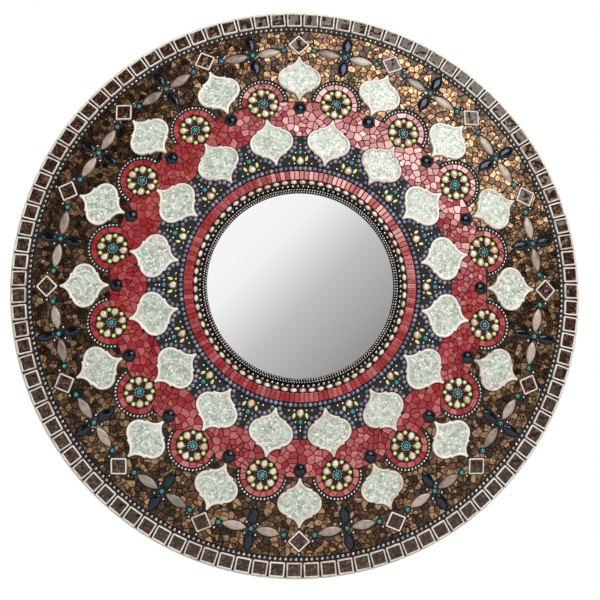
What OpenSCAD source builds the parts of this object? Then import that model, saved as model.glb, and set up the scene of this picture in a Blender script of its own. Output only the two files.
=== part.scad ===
// Round wall mirror in a wide domed frame covered with glass and ceramic mosaic.
// The front faces -Y, up is +Z and the wall is the plane y = 0.
// Every piece is drawn with the dome's axis along Z and turned upright at the end.

/* [Frame] */
// Outside diameter of the whole frame
frame_dia = 762; // [750:1:790]
// Radius of the sphere that the domed front follows
dome_radius = 1500; // [1350:10:1900]
// Thickness of the form at its outer edge
form_edge = 12; // [10:1:18]
// Wall of the hollow form behind the mosaic
form_wall = 12; // [8:1:16]
// Width of the solid land round the back of the form
land_w = 34; // [30:1:44]
// Thickness of the glazed band round the outer edge
band_t = 2; // [1:0.5:3]
// Thickness of the bed of cement under the mosaic
bed_t = 1.5; // [1:0.5:2.5]

/* [Back] */
// Thickness of the back panel
back_t = 9; // [6:1:12]
// Distance of the panel's edge from the form's edge
back_inset = 3; // [1:0.5:6]
// Number of screws that hold the back panel
back_screws = 12; // [8:1:20]
// Diameter of the back panel's screws
back_screw_dia = 4; // [3:0.5:5]
// Length of the back panel's screws under the head
back_screw_l = 16; // [14:1:18]
// Thickness of the wall bumpers
bumper_t = 8; // [7.6:0.1:14]
// Diameter of the wall bumpers
bumper_dia = 15; // [10:1:20]

/* [Hangers] */
// Distance of each hanger from the middle of the mirror, sideways
hanger_x = 185; // [120:1:230]
// Height of the hanger's ring above the middle of the mirror
hanger_z = 160; // [100:1:200]
// Diameter of the hanger ring's wire
ring_wire = 4; // [3:0.1:4]
// Half width of the hanger ring, to the middle of its wire
ring_half_w = 15; // [13:0.5:18]
// Length of the ring's straight legs
ring_leg = 6; // [4:0.5:12]
// Width of the hanger's strap
strap_w = 14; // [12:0.5:18]
// Thickness of the hanger's strap
strap_t = 1.5; // [1:0.1:2]
// Diameter of the hanger's screws
hanger_screw_dia = 3.5; // [3:0.1:4]
// Diameter of the hanger screws' heads
hanger_head_dia = 7; // [6:0.1:7.5]

/* [Mirror] */
// Diameter of the mirror glass
mirror_dia = 254; // [246:1:258]
// Thickness of the mirror glass
mirror_t = 3; // [2:0.5:6]
// How far the bezel laps over the edge of the glass
mirror_lap = 5; // [1:0.1:5.5]
// Thickness of the bezel's lip over the glass
bezel_lip = 1.2; // [0.8:0.1:2]
// Thickness of the mirror's adhesive pads
pad_t = 1; // [0.5:0.1:2]
// Diameter of the mirror's adhesive pads
pad_dia = 44; // [20:1:60]

/* [Inner rings] */
// Ball diameter of the two fine chains
fine_ball = 2.6; // [2:0.1:3]
// Spacing of the balls along the fine chains
fine_pitch = 3.45; // [3.3:0.05:5]
// Ball diameter of the bronze chain
chain_ball = 4.5; // [3.5:0.1:5.5]
// Spacing of the balls along the bronze chain
chain_pitch = 6.7; // [6:0.1:9]
// Width of the oval pearl beads
pearl_w = 6; // [5:0.1:8]
// Length of the oval pearl beads
pearl_l = 9; // [8:0.1:11]
// Spacing of the oval pearl beads
pearl_pitch = 11.7; // [11.4:0.1:14]
// Radial length of the red edging tesserae
red_l = 11.8; // [9:0.1:16]
// Spacing of the red edging tesserae
red_pitch = 6.05; // [5.5:0.05:9]
// Thickness of the red edging tesserae
red_t = 4; // [3:0.1:6]
// Diameter of the lilac beads
lilac_dia = 6; // [4:0.1:7]
// Clear distance between neighbouring bead rings
ring_gap = 0.3; // [0.2:0.05:0.6]

/* [Rim] */
// Side of the square rim tiles
rim_tile = 20; // [17:0.1:20.5]
// Spacing of the rim tiles along their circle
rim_pitch = 22.3; // [22:0.1:26]
// Thickness of the rim tiles
rim_tile_t = 5; // [4:0.1:7]
// Distance of the rim tiles from the outer edge
rim_margin = 3; // [0.8:0.1:4]
// Width of the raised border on square tiles
square_border = 2.5; // [2:0.1:3.5]
// Diameter of the beads inside the rim
rim_bead = 5.2; // [4:0.1:6]
// Spacing of the beads inside the rim
rim_bead_pitch = 6.8; // [6.8:0.1:9]

/* [Motifs] */
// Number of times that the design repeats round the frame
motifs = 16; // [14:1:16]
// Length of the lantern tiles
lantern_l = 65; // [56:0.5:66]
// Width of the lantern tiles
lantern_w = 58; // [50:0.5:58]
// Thickness of the lantern tiles
lantern_t = 6.5; // [5:0.1:8]
// Width of the raised border on the lantern tiles
lantern_border = 3.6; // [2.5:0.1:4.5]
// Depth of the glass recess in the lantern tiles
glaze_depth = 1.6; // [1:0.1:3]
// Diameter of the black cabochons
cabochon_dia = 15.5; // [12:0.1:16]
// Length of the pearl drops in the flowers
drop_l = 13; // [11:0.1:13.5]
// Width of the pearl drops
drop_w = 10.5; // [9:0.1:10.8]
// Height of the drops' settings
setting_t = 4; // [3:0.1:6]
// Diameter of the turquoise bead in each flower
eye_dia = 8; // [6:0.1:8.5]
// Diameter of the seed beads
seed_dia = 2.5; // [2:0.1:2.6]
// Diameter of the green glass gems
gem_dia = 6; // [4:0.1:6.4]
// Radius of the bead arc round each flower
arc_r = 31; // [30.5:0.1:31.2]
// Diameter of the silver beads
silver_dia = 4; // [3:0.1:4.2]
// Length of the black petals
black_petal_l = 26; // [20:0.1:27]
// Width of the black petals
black_petal_w = 12; // [9:0.1:13]
// Length of the taupe petals
taupe_petal_l = 33; // [24:0.1:34]
// Width of the taupe petals
taupe_petal_w = 13; // [10:0.1:15]
// Thickness of the petals
petal_t = 4.5; // [3:0.1:6]
// Diameter of the turquoise beads
turquoise_dia = 6.5; // [5:0.1:7]
// Side of the square tiles set on their corners
diamond_side = 21; // [16:0.1:21.5]

/* [Tesserae] */
// Usual size of the cut glass pieces
shard = 11.5; // [10:0.1:15]
// Thickness of the cut glass pieces
shard_t = 4; // [3:0.1:5]
// Grout joint between the cut glass pieces
joint = 1.3; // [0.8:0.1:2]
// Share of a piece by which its corners wander
wander = 0.2; // [0:0.01:0.24]

/* [Hidden] */
$fn = 24;
fine = 256;             // segments of the large round surfaces
seat = 0.03;            // adhesive film between a piece and what it is stuck to
fit = 0.05;             // clearance round the glass in a tile
run = 0.2;              // running clearance of screws and hinges
margin = 0.9;           // least joint between a cut piece and a motif
sector = 360 / motifs;

// The dome, from the wall outwards
form_z = bumper_t + back_t;
form_r = frame_dia / 2 - band_t;
form_top = form_z + form_edge;
sphere_z = form_top - sqrt(dome_radius * dome_radius - form_r * form_r);
bed_radius = dome_radius + bed_t;
function dome_z(r) = sphere_z + sqrt(dome_radius * dome_radius - r * r);

// Mirror and inner rings, from the glass outwards
mirror_r = mirror_dia / 2;
bezel_in_r = mirror_r - mirror_lap;
fine_r1 = bezel_in_r + ring_gap + fine_ball / 2;
fine_r2 = fine_r1 + fine_ball + ring_gap;
bezel_out_r = max(fine_r2 + fine_ball / 2 + ring_gap, mirror_r + run + 1);
hub_z = dome_z(bezel_out_r);
glass_z = hub_z + pad_t;
bezel_z = glass_z + mirror_t + seat;
chain_r = bezel_out_r + 2 * ring_gap + chain_ball / 2;
pearl_r = chain_r + chain_ball / 2 + ring_gap + pearl_w / 2;
red_in = pearl_r + pearl_w / 2 + 2 * ring_gap;
red_out = red_in + red_l;
lilac_r = red_out + 2 * ring_gap + lilac_dia / 2;
lilac_out = lilac_r + lilac_dia / 2;

// Rim, from the outer edge inwards
rim_r = form_r + band_t - rim_margin - rim_tile / 2;
rim_bead_r = rim_r - rim_tile / 2 - 1.5 - rim_bead / 2;
field_out = rim_bead_r - rim_bead / 2 - margin;

// Rows of motifs
inner_lantern_r = lilac_out + 3 + lantern_l / 2;
inner_tip_r = inner_lantern_r + lantern_l / 2;
eye_ring = eye_dia / 2 + 0.5 + seed_dia / 2;
drop_in = eye_ring + seed_dia / 2 + 0.5;
flower_r = drop_in + drop_l;
flower_at = inner_tip_r + 3 + flower_r;
diamond_h = diamond_side / sqrt(2);
diamond_at = field_out - silver_dia - margin - diamond_h;
outer_lantern_r = diamond_at - diamond_h - 2 - lantern_l / 2;
cabochon_at = outer_lantern_r - lantern_l / 2 - 1.5 - cabochon_dia / 2;
petal_in = turquoise_dia / 2 + 1.2;
cross_at = field_out - petal_in - black_petal_l;
taupe_at = petal_in + 1.4;
drop_at = lilac_out + 1.6 + drop_w / 2;
bud_bead_at = drop_at - drop_w / 2 + drop_l + 1 + turquoise_dia / 2;
red_field_in = inner_lantern_r + 6;

// Places a piece flat on the dome at radius r and angle a, its local x pointing outwards
module on_dome(big, r, a) {
    rotate([0, 0, a])
        translate([0, 0, sphere_z])
            rotate([0, asin(r / big), 0])
                translate([0, 0, big])
                    children();
}
module on_bed(r, a) {
    on_dome(bed_radius + seat, r, a) children();
}
// Places a piece on the bed at the offset [out, side] from a point at radius r and angle a
module beside(r, a, out, side) {
    on_bed(sqrt((r + out) * (r + out) + side * side), a + atan2(side, r + out)) children();
}
module upright() {
    rotate([90, 0, 0]) children();
}
module ball(d) {
    translate([0, 0, d / 2]) sphere(d = d);
}
module ring_of_balls(r, d, pitch) {
    n = floor(360 / (2 * asin(pitch / 2 / r)));
    for (i = [0:n - 1]) on_bed(r, i * 360 / n) ball(d);
}
module axes_a() {
    for (k = [0:motifs - 1]) {
        $a = k * sector + 90;
        children();
    }
}
module axes_b() {
    for (k = [0:motifs - 1]) {
        $a = k * sector + sector / 2 + 90;
        children();
    }
}
// Rounded slice between two radii that follows the sphere
module dome_profile(big, r0, r1, z0) {
    intersection() {
        translate([0, sphere_z]) circle(r = big, $fn = fine);
        translate([r0, z0]) square([r1 - r0, big]);
    }
}

// Form and back
module domed_form() color("tan") upright() difference() {
    rotate_extrude($fn = fine) difference() {
        intersection() {
            dome_profile(dome_radius, 0, form_r, form_z);
            square([form_r, hub_z]);
        }
        intersection() {
            dome_profile(dome_radius - form_wall, 0, form_r - land_w, form_z - 1);
            square([form_r, hub_z - form_wall]);
        }
    }
    at_back_screws() cylinder(d = back_screw_dia + run, h = 2 * (back_screw_l - back_t + 1), center = true);
}
module edge_band() color("honeydew") upright() rotate_extrude($fn = fine)
    dome_profile(bed_radius, form_r + seat, form_r + band_t, bumper_t + back_t);
module cement_bed() color("dimgray") upright() rotate_extrude($fn = fine) difference() {
    dome_profile(bed_radius, bezel_out_r + ring_gap, form_r, form_z);
    translate([0, sphere_z]) circle(r = dome_radius, $fn = fine);
}
back_r = form_r - back_inset;
screw_ring_r = form_r - land_w / 2 - back_inset / 2;
module at_back_screws() {
    for (k = [0:back_screws - 1]) rotate([0, 0, (k + 0.5) * 360 / back_screws])
        translate([screw_ring_r, 0, form_z]) children();
}
module back_panel() color("burlywood") upright() difference() {
    translate([0, 0, bumper_t]) cylinder(r = back_r, h = back_t, $fn = fine);
    at_back_screws() cylinder(d = back_screw_dia + 2 * run, h = 3 * back_t, center = true);
    for (side = [-1, 1]) at_hanger(side) at_strap_screws() hanger_pilot();
}
back_head_t = 2.4;
module back_panel_screws() color("silver") upright() at_back_screws() translate([0, 0, -back_t]) {
    cylinder(d = back_screw_dia, h = back_screw_l);
    translate([0, 0, -back_head_t - seat]) difference() {
        cylinder(d = 2 * back_screw_dia, h = back_head_t + seat);
        translate([0, 0, -1]) cylinder(d = back_screw_dia, h = 1 + back_head_t / 2, $fn = 6);
    }
}
bumper_ring_r = back_r - bumper_dia / 2 - land_w - 4;
module wall_bumpers() color("black") upright() for (k = [0:3]) rotate([0, 0, 45 + k * 90])
    translate([bumper_ring_r, 0, 0]) cylinder(d = bumper_dia, h = bumper_t);

// Hangers, whose hinge axis lies knuckle_r behind the panel. The ring stands up, as a wall hook holds it,
// and swings back and down until it lies over its strap between the two screws.
knuckle_r = ring_wire / 2 + run + 1.5;
hinge_z = bumper_t - knuckle_r;
ring_reach = ring_leg + ring_half_w;
screw_1 = knuckle_r + hanger_head_dia / 2 + 0.8;
screw_2 = ring_reach + ring_wire / 2 + hanger_head_dia / 2 + 2;
strap_l = screw_2 + hanger_head_dia / 2 + 2;
module at_hanger(side) {
    translate([side * hanger_x, hanger_z, 0]) children();
}
module at_strap_screws() {
    for (d = [screw_1, screw_2]) translate([0, -d, bumper_t]) children();
}
hanger_pilot_l = back_t - 1;
module hanger_pilot() {
    cylinder(d = hanger_screw_dia + run, h = 2 * hanger_pilot_l, center = true);
}
module hanger_strap(side) color("goldenrod") upright() at_hanger(side) difference() {
    union() {
        translate([-strap_w / 2, -strap_l, bumper_t - strap_t]) cube([strap_w, strap_l, strap_t]);
        translate([-strap_w / 2, 0, hinge_z]) rotate([0, 90, 0]) cylinder(r = knuckle_r, h = strap_w);
    }
    translate([-strap_w, 0, hinge_z]) rotate([0, 90, 0]) cylinder(d = ring_wire + 2 * run, h = 2 * strap_w);
    at_strap_screws() cylinder(d = hanger_screw_dia + 2 * run, h = 4 * strap_t, center = true);
}
module left_hanger_strap() {
    hanger_strap(-1);
}
module right_hanger_strap() {
    hanger_strap(1);
}
hanger_head_t = min(2, knuckle_r - ring_wire / 2);
module hanger_screws() color("gold") upright() for (side = [-1, 1]) at_hanger(side) at_strap_screws() {
    translate([0, 0, -strap_t - seat]) cylinder(d = hanger_screw_dia, h = strap_t + hanger_pilot_l - 1);
    translate([0, 0, -strap_t - seat - hanger_head_t]) cylinder(d = hanger_head_dia, h = hanger_head_t);
}
module hanger_ring(side) color("khaki") upright() at_hanger(side) translate([0, 0, hinge_z]) {
    translate([-ring_half_w, 0, 0]) rotate([0, 90, 0]) cylinder(d = ring_wire, h = 2 * ring_half_w);
    for (s = [-1, 1]) translate([s * ring_half_w, 0, 0]) {
        sphere(d = ring_wire);
        rotate([-90, 0, 0]) cylinder(d = ring_wire, h = ring_leg);
    }
    translate([0, ring_leg, 0]) rotate_extrude(angle = 180, $fn = 72)
        translate([ring_half_w, 0]) circle(d = ring_wire);
}
module left_hanger_ring() {
    hanger_ring(-1);
}
module right_hanger_ring() {
    hanger_ring(1);
}

// Mirror and bezel
pad_ring_r = mirror_r - pad_dia / 2 - 12;
module mirror_pads() color("white") upright() for (k = [0:4]) rotate([0, 0, 90 + k * 72])
    translate([pad_ring_r, 0, hub_z]) cylinder(d = pad_dia, h = pad_t);
module mirror_glass() color("lightsteelblue") upright() translate([0, 0, glass_z])
    cylinder(r = mirror_r, h = mirror_t, $fn = fine);
module bezel_ring() color("dimgray") upright() rotate_extrude($fn = fine) polygon([
    [mirror_r + run, hub_z],
    [bezel_out_r, hub_z],
    [bezel_out_r, bezel_z + bezel_lip],
    [bezel_in_r, bezel_z + bezel_lip],
    [bezel_in_r, bezel_z],
    [mirror_r + run, bezel_z]]);
module fine_chain(r) color("silver") upright() {
    n = floor(360 / (2 * asin(fine_pitch / 2 / r)));
    for (i = [0:n - 1]) rotate([0, 0, i * 360 / n])
        translate([r, 0, bezel_z + bezel_lip + seat]) ball(fine_ball);
}
module fine_chain_inner() {
    fine_chain(fine_r1);
}
module fine_chain_outer() {
    fine_chain(fine_r2);
}
module bronze_chain() color("peru") upright() ring_of_balls(chain_r, chain_ball, chain_pitch);

// Oval bead lying along y, its sides true arcs
bulge = (pearl_l * pearl_l / 4 + pearl_w * pearl_w / 16) / (pearl_w / 2);
module oval_bead() {
    translate([0, 0, pearl_w / 2]) rotate([90, 0, 0]) rotate_extrude($fn = 48) intersection() {
        translate([pearl_w / 2 - bulge, 0]) circle(r = bulge, $fn = 96);
        translate([0, -pearl_l / 2]) square([pearl_w, pearl_l]);
    }
}
module pearl_ring_beads() color("navajowhite") upright() {
    n = floor(360 / (2 * asin(pearl_pitch / 2 / pearl_r)));
    for (i = [0:n - 1]) on_bed(pearl_r, i * 360 / n) oval_bead();
}
module red_edging_tesserae() color("firebrick") upright() {
    n = floor(360 / (2 * asin(red_pitch / 2 / red_in)));
    half_in = red_in * sin(180 / n) - 0.35;
    half_out = red_out * sin(180 / n) - 0.35;
    for (i = [0:n - 1]) on_bed(red_in + red_l / 2, i * 360 / n) linear_extrude(red_t)
        polygon([[-red_l / 2, -half_in], [red_l / 2, -half_out], [red_l / 2, half_out], [-red_l / 2, half_in]]);
}
lilac_pitch = lilac_dia + 0.4;
// The lilac beads go round in a ring, and on round the inner half of each inner lantern
module lilac_ring_beads() color("slateblue") upright() {
    ring_of_balls(lilac_r, lilac_dia, lilac_pitch);
    axes_b() for (p = concat(notch_beads, lobe_beads)) for (s = [-1, 1])
        beside(inner_lantern_r, $a, -p[0], s * p[1]) ball(lilac_dia);
}

// Outline of a lantern tile, drawn in by e, its long axis along x
lobe_r = lantern_l * 0.254;
lobe_at = lantern_w / 2 - lobe_r;
cusp_x = lantern_l * 0.286;
cusp_y = lantern_w * 0.29;
tip_half = 1.4;
notch_r = lantern_l * 0.25;
chord = sqrt(pow(lantern_l / 2 - cusp_x, 2) + pow(cusp_y - tip_half, 2));
notch_rise = sqrt(notch_r * notch_r - chord * chord / 4);
notch_x = (lantern_l / 2 + cusp_x) / 2 + notch_rise * (cusp_y - tip_half) / chord;
notch_y = (cusp_y + tip_half) / 2 + notch_rise * (lantern_l / 2 - cusp_x) / chord;
over = 2;               // how far the straight sides run on into the notches before these are cut
module lantern(e) {
    tip = lantern_l / 2 - 1.9 * e;
    tip_y = tip_half + over;
    side_x = cusp_x - 0.6 * e + over;
    side_y = cusp_y - e;
    difference() {
        union() {
            for (s = [-1, 1]) translate([0, s * lobe_at]) circle(r = lobe_r - e, $fn = 72);
            polygon([[-tip, -tip_y], [-side_x, -side_y], [side_x, -side_y], [tip, -tip_y],
                [tip, tip_y], [side_x, side_y], [-side_x, side_y], [-tip, tip_y]]);
        }
        for (sx = [-1, 1]) for (sy = [-1, 1])
            translate([sx * notch_x, sy * notch_y]) circle(r = notch_r + e, $fn = 72);
    }
}
// Beads beside the tile, [towards the mirror, sideways]: along a notch, then round a lobe
bead_off = lilac_dia / 2 + 0.4;
notch_line = notch_r - bead_off;
lobe_line = lobe_r + bead_off;
first_turn = acos((notch_x - inner_lantern_r + lilac_out + lilac_dia / 2 + 0.4) / notch_line);
notch_step = 2 * asin(lilac_pitch / 2 / notch_line);
lobe_step = 2 * asin(lilac_pitch / 2 / lobe_line);
notch_beads = [for (t = [-first_turn:notch_step:20])
    [notch_x - notch_line * cos(t), notch_y + notch_line * sin(t)]];
last_bead = notch_beads[len(notch_beads) - 1];
lobe_beads = [for (t = [90:-lobe_step:20])
    let (p = [lobe_line * cos(t), lobe_at + lobe_line * sin(t)]) if (norm(p - last_bead) > lilac_pitch) p];
module lantern_tile() {
    difference() {
        linear_extrude(lantern_t) lantern(0);
        translate([0, 0, lantern_t - glaze_depth]) linear_extrude(2 * glaze_depth) lantern(lantern_border);
    }
}
module lantern_glaze() {
    translate([0, 0, lantern_t - glaze_depth]) linear_extrude(glaze_depth * 0.7) lantern(lantern_border + fit);
}
module inner_lantern_tiles() color("oldlace") upright() axes_b() on_bed(inner_lantern_r, $a) lantern_tile();
module inner_lantern_glass() color("lightgray") upright() axes_b() on_bed(inner_lantern_r, $a) lantern_glaze();
module outer_lantern_tiles() color("oldlace") upright() axes_a() on_bed(outer_lantern_r, $a) lantern_tile();
module outer_lantern_glass() color("lightgray") upright() axes_a() on_bed(outer_lantern_r, $a) lantern_glaze();

// Square tiles, a raised border round a pool of glass
module square_border_tile(side) {
    hole = side - 2 * square_border;
    linear_extrude(rim_tile_t) difference() {
        square(side, center = true);
        square(hole, center = true);
    }
}
module square_glaze(side) {
    linear_extrude(rim_tile_t - glaze_depth * 0.7) square(side - 2 * square_border - 2 * fit, center = true);
}
rim_tiles = floor(360 / (2 * asin(rim_pitch / 2 / rim_r)));
module rim_tile_borders() color("ivory") upright()
    for (i = [0:rim_tiles - 1]) on_bed(rim_r, i * 360 / rim_tiles) square_border_tile(rim_tile);
module rim_tile_glass() color("saddlebrown") upright()
    for (i = [0:rim_tiles - 1]) on_bed(rim_r, i * 360 / rim_tiles) square_glaze(rim_tile);
module diamond_tile_borders() color("ivory") upright()
    axes_a() on_bed(diamond_at, $a) rotate([0, 0, 45]) square_border_tile(diamond_side);
module diamond_tile_glass() color("saddlebrown") upright()
    axes_a() on_bed(diamond_at, $a) rotate([0, 0, 45]) square_glaze(diamond_side);
module rim_beads() color("gray") upright() ring_of_balls(rim_bead_r, rim_bead, rim_bead_pitch);

// Cabochons, drops, gems and petals
module dome_cut(d, h) {
    big = (d * d / 4 + h * h) / (2 * h);
    intersection() {
        cylinder(d = d, h = h, $fn = 48);
        translate([0, 0, h - big]) sphere(r = big, $fn = 96);
    }
}
module black_cabochons() color("black") upright() axes_a() on_bed(cabochon_at, $a) dome_cut(cabochon_dia, 5);

// Drop outline, round end at the origin and point towards -x
module drop(w, l) {
    reach = l - w / 2;
    touch = w * w / 4 / reach;
    wide = w / 2 * sqrt(1 - w * w / 4 / reach / reach);
    circle(d = w, $fn = 48);
    polygon([[-reach, 0], [-touch, -wide], [0, 0], [-touch, wide]]);
}
setting_wall = 1.3;
module drop_setting() {
    difference() {
        linear_extrude(setting_t) drop(drop_w, drop_l);
        translate([0, 0, 1]) linear_extrude(setting_t) drop(drop_w - 2 * setting_wall, drop_l - 3 * setting_wall);
    }
}
pearl_cut_w = drop_w - 2 * setting_wall - 2 * fit;
pearl_cut_l = drop_l - 3 * setting_wall - 3 * fit;
module pearl_drop() {
    translate([0, 0, 1 + seat]) intersection() {
        linear_extrude(setting_t + 0.5) drop(pearl_cut_w, pearl_cut_l);
        translate([0, 0, setting_t + 0.5 - drop_l]) rotate([90, 0, 0]) sphere(r = drop_l, $fn = 96);
    }
}
// The six drops of a flower point at its centre, and one drop lies under each outer lantern
flower_drop_at = flower_r - drop_w / 2;
module at_drops() {
    axes_b() for (i = [0:5]) {
        t = i * 60;
        beside(flower_at, $a, flower_drop_at * cos(t), flower_drop_at * sin(t))
            rotate([0, 0, t - atan2(flower_drop_at * sin(t), flower_at + flower_drop_at * cos(t))]) children();
    }
    axes_a() on_bed(drop_at, $a) rotate([0, 0, 180]) children();
}
module drop_settings() color("tan") upright() at_drops() drop_setting();
module pearl_drops() color("seashell") upright() at_drops() pearl_drop();
module flower_eyes() color("darkcyan") upright() axes_b() on_bed(flower_at, $a) dome_cut(eye_dia, 4);
module flower_seed_beads() color("silver") upright() axes_b() for (i = [0:11])
    beside(flower_at, $a, eye_ring * cos(i * 30), eye_ring * sin(i * 30)) ball(seed_dia);
// Each gem lies between two drops, as far in as they let it
gem_touch = drop_w / 2 + gem_dia / 2 + 0.4;
gem_ring = flower_drop_at * cos(30) + sqrt(max(0, pow(gem_touch, 2) - pow(flower_drop_at * sin(30), 2)));
module green_gems() color("yellowgreen") upright() axes_b() for (i = [0:5])
    beside(flower_at, $a, gem_ring * cos(i * 60 + 30), gem_ring * sin(i * 60 + 30)) dome_cut(gem_dia, 3.2);

// Pointed oval of length l and width w along x
module vesica(l, w) {
    big = (l * l / 4 + w * w / 4) / w;
    intersection() {
        translate([0, big - w / 2]) circle(r = big, $fn = 120);
        translate([0, w / 2 - big]) circle(r = big, $fn = 120);
    }
}
module petal(l, w, h) {
    vault = 0.9 * w;
    intersection() {
        linear_extrude(h) vesica(l, w);
        translate([-l, 0, h - vault]) rotate([0, 90, 0]) cylinder(r = vault, h = 2 * l, $fn = 72);
    }
}
leaf_l = 9;
leaf_w = 4.6;
leaf_side = drop_w / 2 + 3.15;
leaf_out = 4;
leaf_turn = 18;
module green_leaves() color("olivedrab") upright() axes_a() for (s = [-1, 1])
    beside(drop_at, $a, leaf_out, s * leaf_side) rotate([0, 0, s * leaf_turn]) petal(leaf_l, leaf_w, 3);
module black_petals() color("black") upright() axes_b() for (s = [-1, 1])
    on_bed(cross_at + s * (petal_in + black_petal_l / 2), $a) petal(black_petal_l, black_petal_w, petal_t);
module taupe_petals() color("rosybrown") upright() axes_b() for (s = [-1, 1])
    beside(cross_at, $a, 0, s * (taupe_at + taupe_petal_l / 2))
        rotate([0, 0, 90 - s * asin((taupe_at + taupe_petal_l / 2) / cross_at)]) petal(taupe_petal_l, taupe_petal_w, petal_t);
taupe_tip = taupe_at + taupe_petal_l + 1 + turquoise_dia / 2;
module turquoise_beads() color("teal") upright() {
    axes_b() on_bed(cross_at, $a) ball(turquoise_dia);
    axes_b() for (s = [-1, 1]) beside(cross_at, $a, 0, s * taupe_tip) ball(turquoise_dia);
    axes_a() on_bed(bud_bead_at, $a) ball(turquoise_dia);
}

// Silver beads: arcs round the flowers, corners of the diamonds and crosses, sprays in the black grout
arc_n = floor(90 / (2 * asin((silver_dia + 0.8) / 2 / arc_r)));
arc_step = 88 / arc_n;
cross_bead = silver_dia / 2 + 8.2;
spray_1 = bud_bead_at + turquoise_dia / 2 + 0.8 + silver_dia / 2;
module silver_beads() color("silver") upright() {
    axes_b() for (i = [-arc_n:arc_n])
        beside(flower_at, $a, arc_r * cos(i * arc_step), arc_r * sin(i * arc_step)) ball(silver_dia);
    axes_b() for (t = [45:90:315])
        beside(cross_at, $a, cross_bead * cos(t), cross_bead * sin(t)) ball(silver_dia);
    axes_a() on_bed(diamond_at + diamond_h + silver_dia / 2 + margin / 2, $a) ball(silver_dia);
    axes_a() for (s = [-1, 1]) {
        beside(diamond_at, $a, 0, s * (diamond_h + silver_dia / 2 + margin)) ball(silver_dia);
        beside(drop_at, $a, -drop_w / 2 + silver_dia / 2, s * (drop_w / 2 + 2.6)) ball(silver_dia);
        beside(drop_at, $a, -drop_w / 2 + silver_dia / 2, s * (leaf_side + leaf_l / 2 + 2)) ball(silver_dia);
        beside(bud_bead_at, $a, 0, s * (turquoise_dia / 2 + 1 + silver_dia / 2)) ball(silver_dia);
    }
    axes_a() for (i = [0:1]) on_bed(spray_1 + i * (silver_dia + 0.8), $a) ball(silver_dia);
}

// Cut glass fields. A corner of the grid that falls in a motif is moved sideways to the motif's edge.
// A motif is [side, out, half side, half out, power]: power 1 is a diamond and 2 an ellipse.
fl_keep = max(flower_r, gem_ring + gem_dia / 2) + margin;
arc_foot = flower_at - silver_dia / 2;
arc_inside = arc_r - silver_dia / 2 - margin;
arc_keep = arc_r + silver_dia / 2 + margin;
silver_keep = silver_dia / 2 + margin;
lantern_keep_w = lantern_w / 2 * 1.05 + margin;
lantern_keep_l = lantern_l / 2 * 1.03 + margin;
on_a = [
    [0, outer_lantern_r, lantern_keep_w, lantern_keep_l, 1.3],
    [0, cabochon_at, cabochon_dia / 2 + margin, cabochon_dia / 2 + margin, 2],
    [0, diamond_at, diamond_h + 1.4 * margin, diamond_h + 1.4 * margin, 1],
    [0, diamond_at + diamond_h + silver_dia / 2 + margin / 2, silver_keep, silver_keep, 2],
    [diamond_h + silver_dia / 2 + margin, diamond_at, silver_keep, silver_keep, 2],
    [0, spray_1, silver_keep, 2 * silver_dia + margin, 2]];
on_b = [
    [0, inner_lantern_r, lantern_keep_w, lantern_keep_l, 1.3],
    [0, flower_at, fl_keep, fl_keep, 2],
    [0, cross_at, cross_bead + silver_keep, cross_bead + silver_keep, 2],
    [0, cross_at + petal_in + black_petal_l / 2, black_petal_w / 2 + margin, black_petal_l / 2 + margin, 2],
    [0, cross_at - petal_in - black_petal_l / 2, black_petal_w / 2 + margin, black_petal_l / 2 + margin, 2],
    [taupe_at + taupe_petal_l / 2, cross_at, taupe_petal_l / 2 + margin, taupe_petal_w / 2 + margin, 2],
    [taupe_tip, cross_at, turquoise_dia / 2 + margin, turquoise_dia / 2 + margin, 2]];
on_b_brown = concat(on_b, [[0, flower_at, arc_keep, arc_keep, 2]]);

function gauge(p, m) = pow(pow(abs(p[0] - m[0]) / m[2], m[4]) + pow(abs(p[1] - m[1]) / m[3], m[4]), 1 / m[4]);
function slide(p, x) = [x, sqrt(p[0] * p[0] + p[1] * p[1] - x * x)];
function shove(p, m) = gauge(p, m) >= 1 ? p
    : slide(p, m[0] + (p[0] < m[0] ? -1 : 1) * m[2] * pow(1 - pow(abs(p[1] - m[1]) / m[3], m[4]), 1 / m[4]));
function shove_all(p, ms, i = 0) = i >= len(ms) ? p : shove_all(shove(p, ms[i]), ms, i + 1);
// Polar points are [radius, angle]. An angle is folded to the nearest A axis, then to the nearest B axis.
function fold(a) = (a - 90) - sector * round((a - 90) / sector);
function sgn(x) = x < 0 ? -1 : 1;
function to_a(q) = let (d = fold(q[1])) [q[0] * sin(abs(d)), q[0] * cos(d)];
function to_b(q) = let (d = sector / 2 - abs(fold(q[1]))) [q[0] * sin(d), q[0] * cos(d)];
function from_a(p, q) = let (d = fold(q[1])) [q[0], q[1] - d + sgn(d) * atan2(p[0], p[1])];
function from_b(p, q) = let (d = fold(q[1])) [q[0], q[1] - d + sgn(d) * (sector / 2 - atan2(p[0], p[1]))];
function pull_in(q) = let (p = to_b(q), rise = p[1] - flower_at, reach = arc_inside * arc_inside - rise * rise)
    q[0] < arc_foot || reach <= 0 ? q : from_b(slide(p, min(p[0], sqrt(reach))), q);
function clear_of(q, brown) = let (q1 = from_a(shove_all(to_a(q), on_a), q))
    brown ? from_b(shove_all(to_b(q1), on_b_brown), q1) : pull_in(from_b(shove_all(to_b(q1), on_b), q1));
function least(p, ms) = min([for (m = ms) gauge(p, m)]);
function from_flower(q) = let (p = to_b(q)) norm([p[0], p[1] - flower_at]);
function clear_at(q, brown) = least(to_a(q), on_a) > 0.985 && least(to_b(q), brown ? on_b_brown : on_b) > 0.985
    && (brown || q[0] < arc_foot || from_flower(q) < arc_inside * 1.015);
function mix(p, q, t) = [p[0] + (q[0] - p[0]) * t, p[1] + (q[1] - p[1]) * t];

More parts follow.
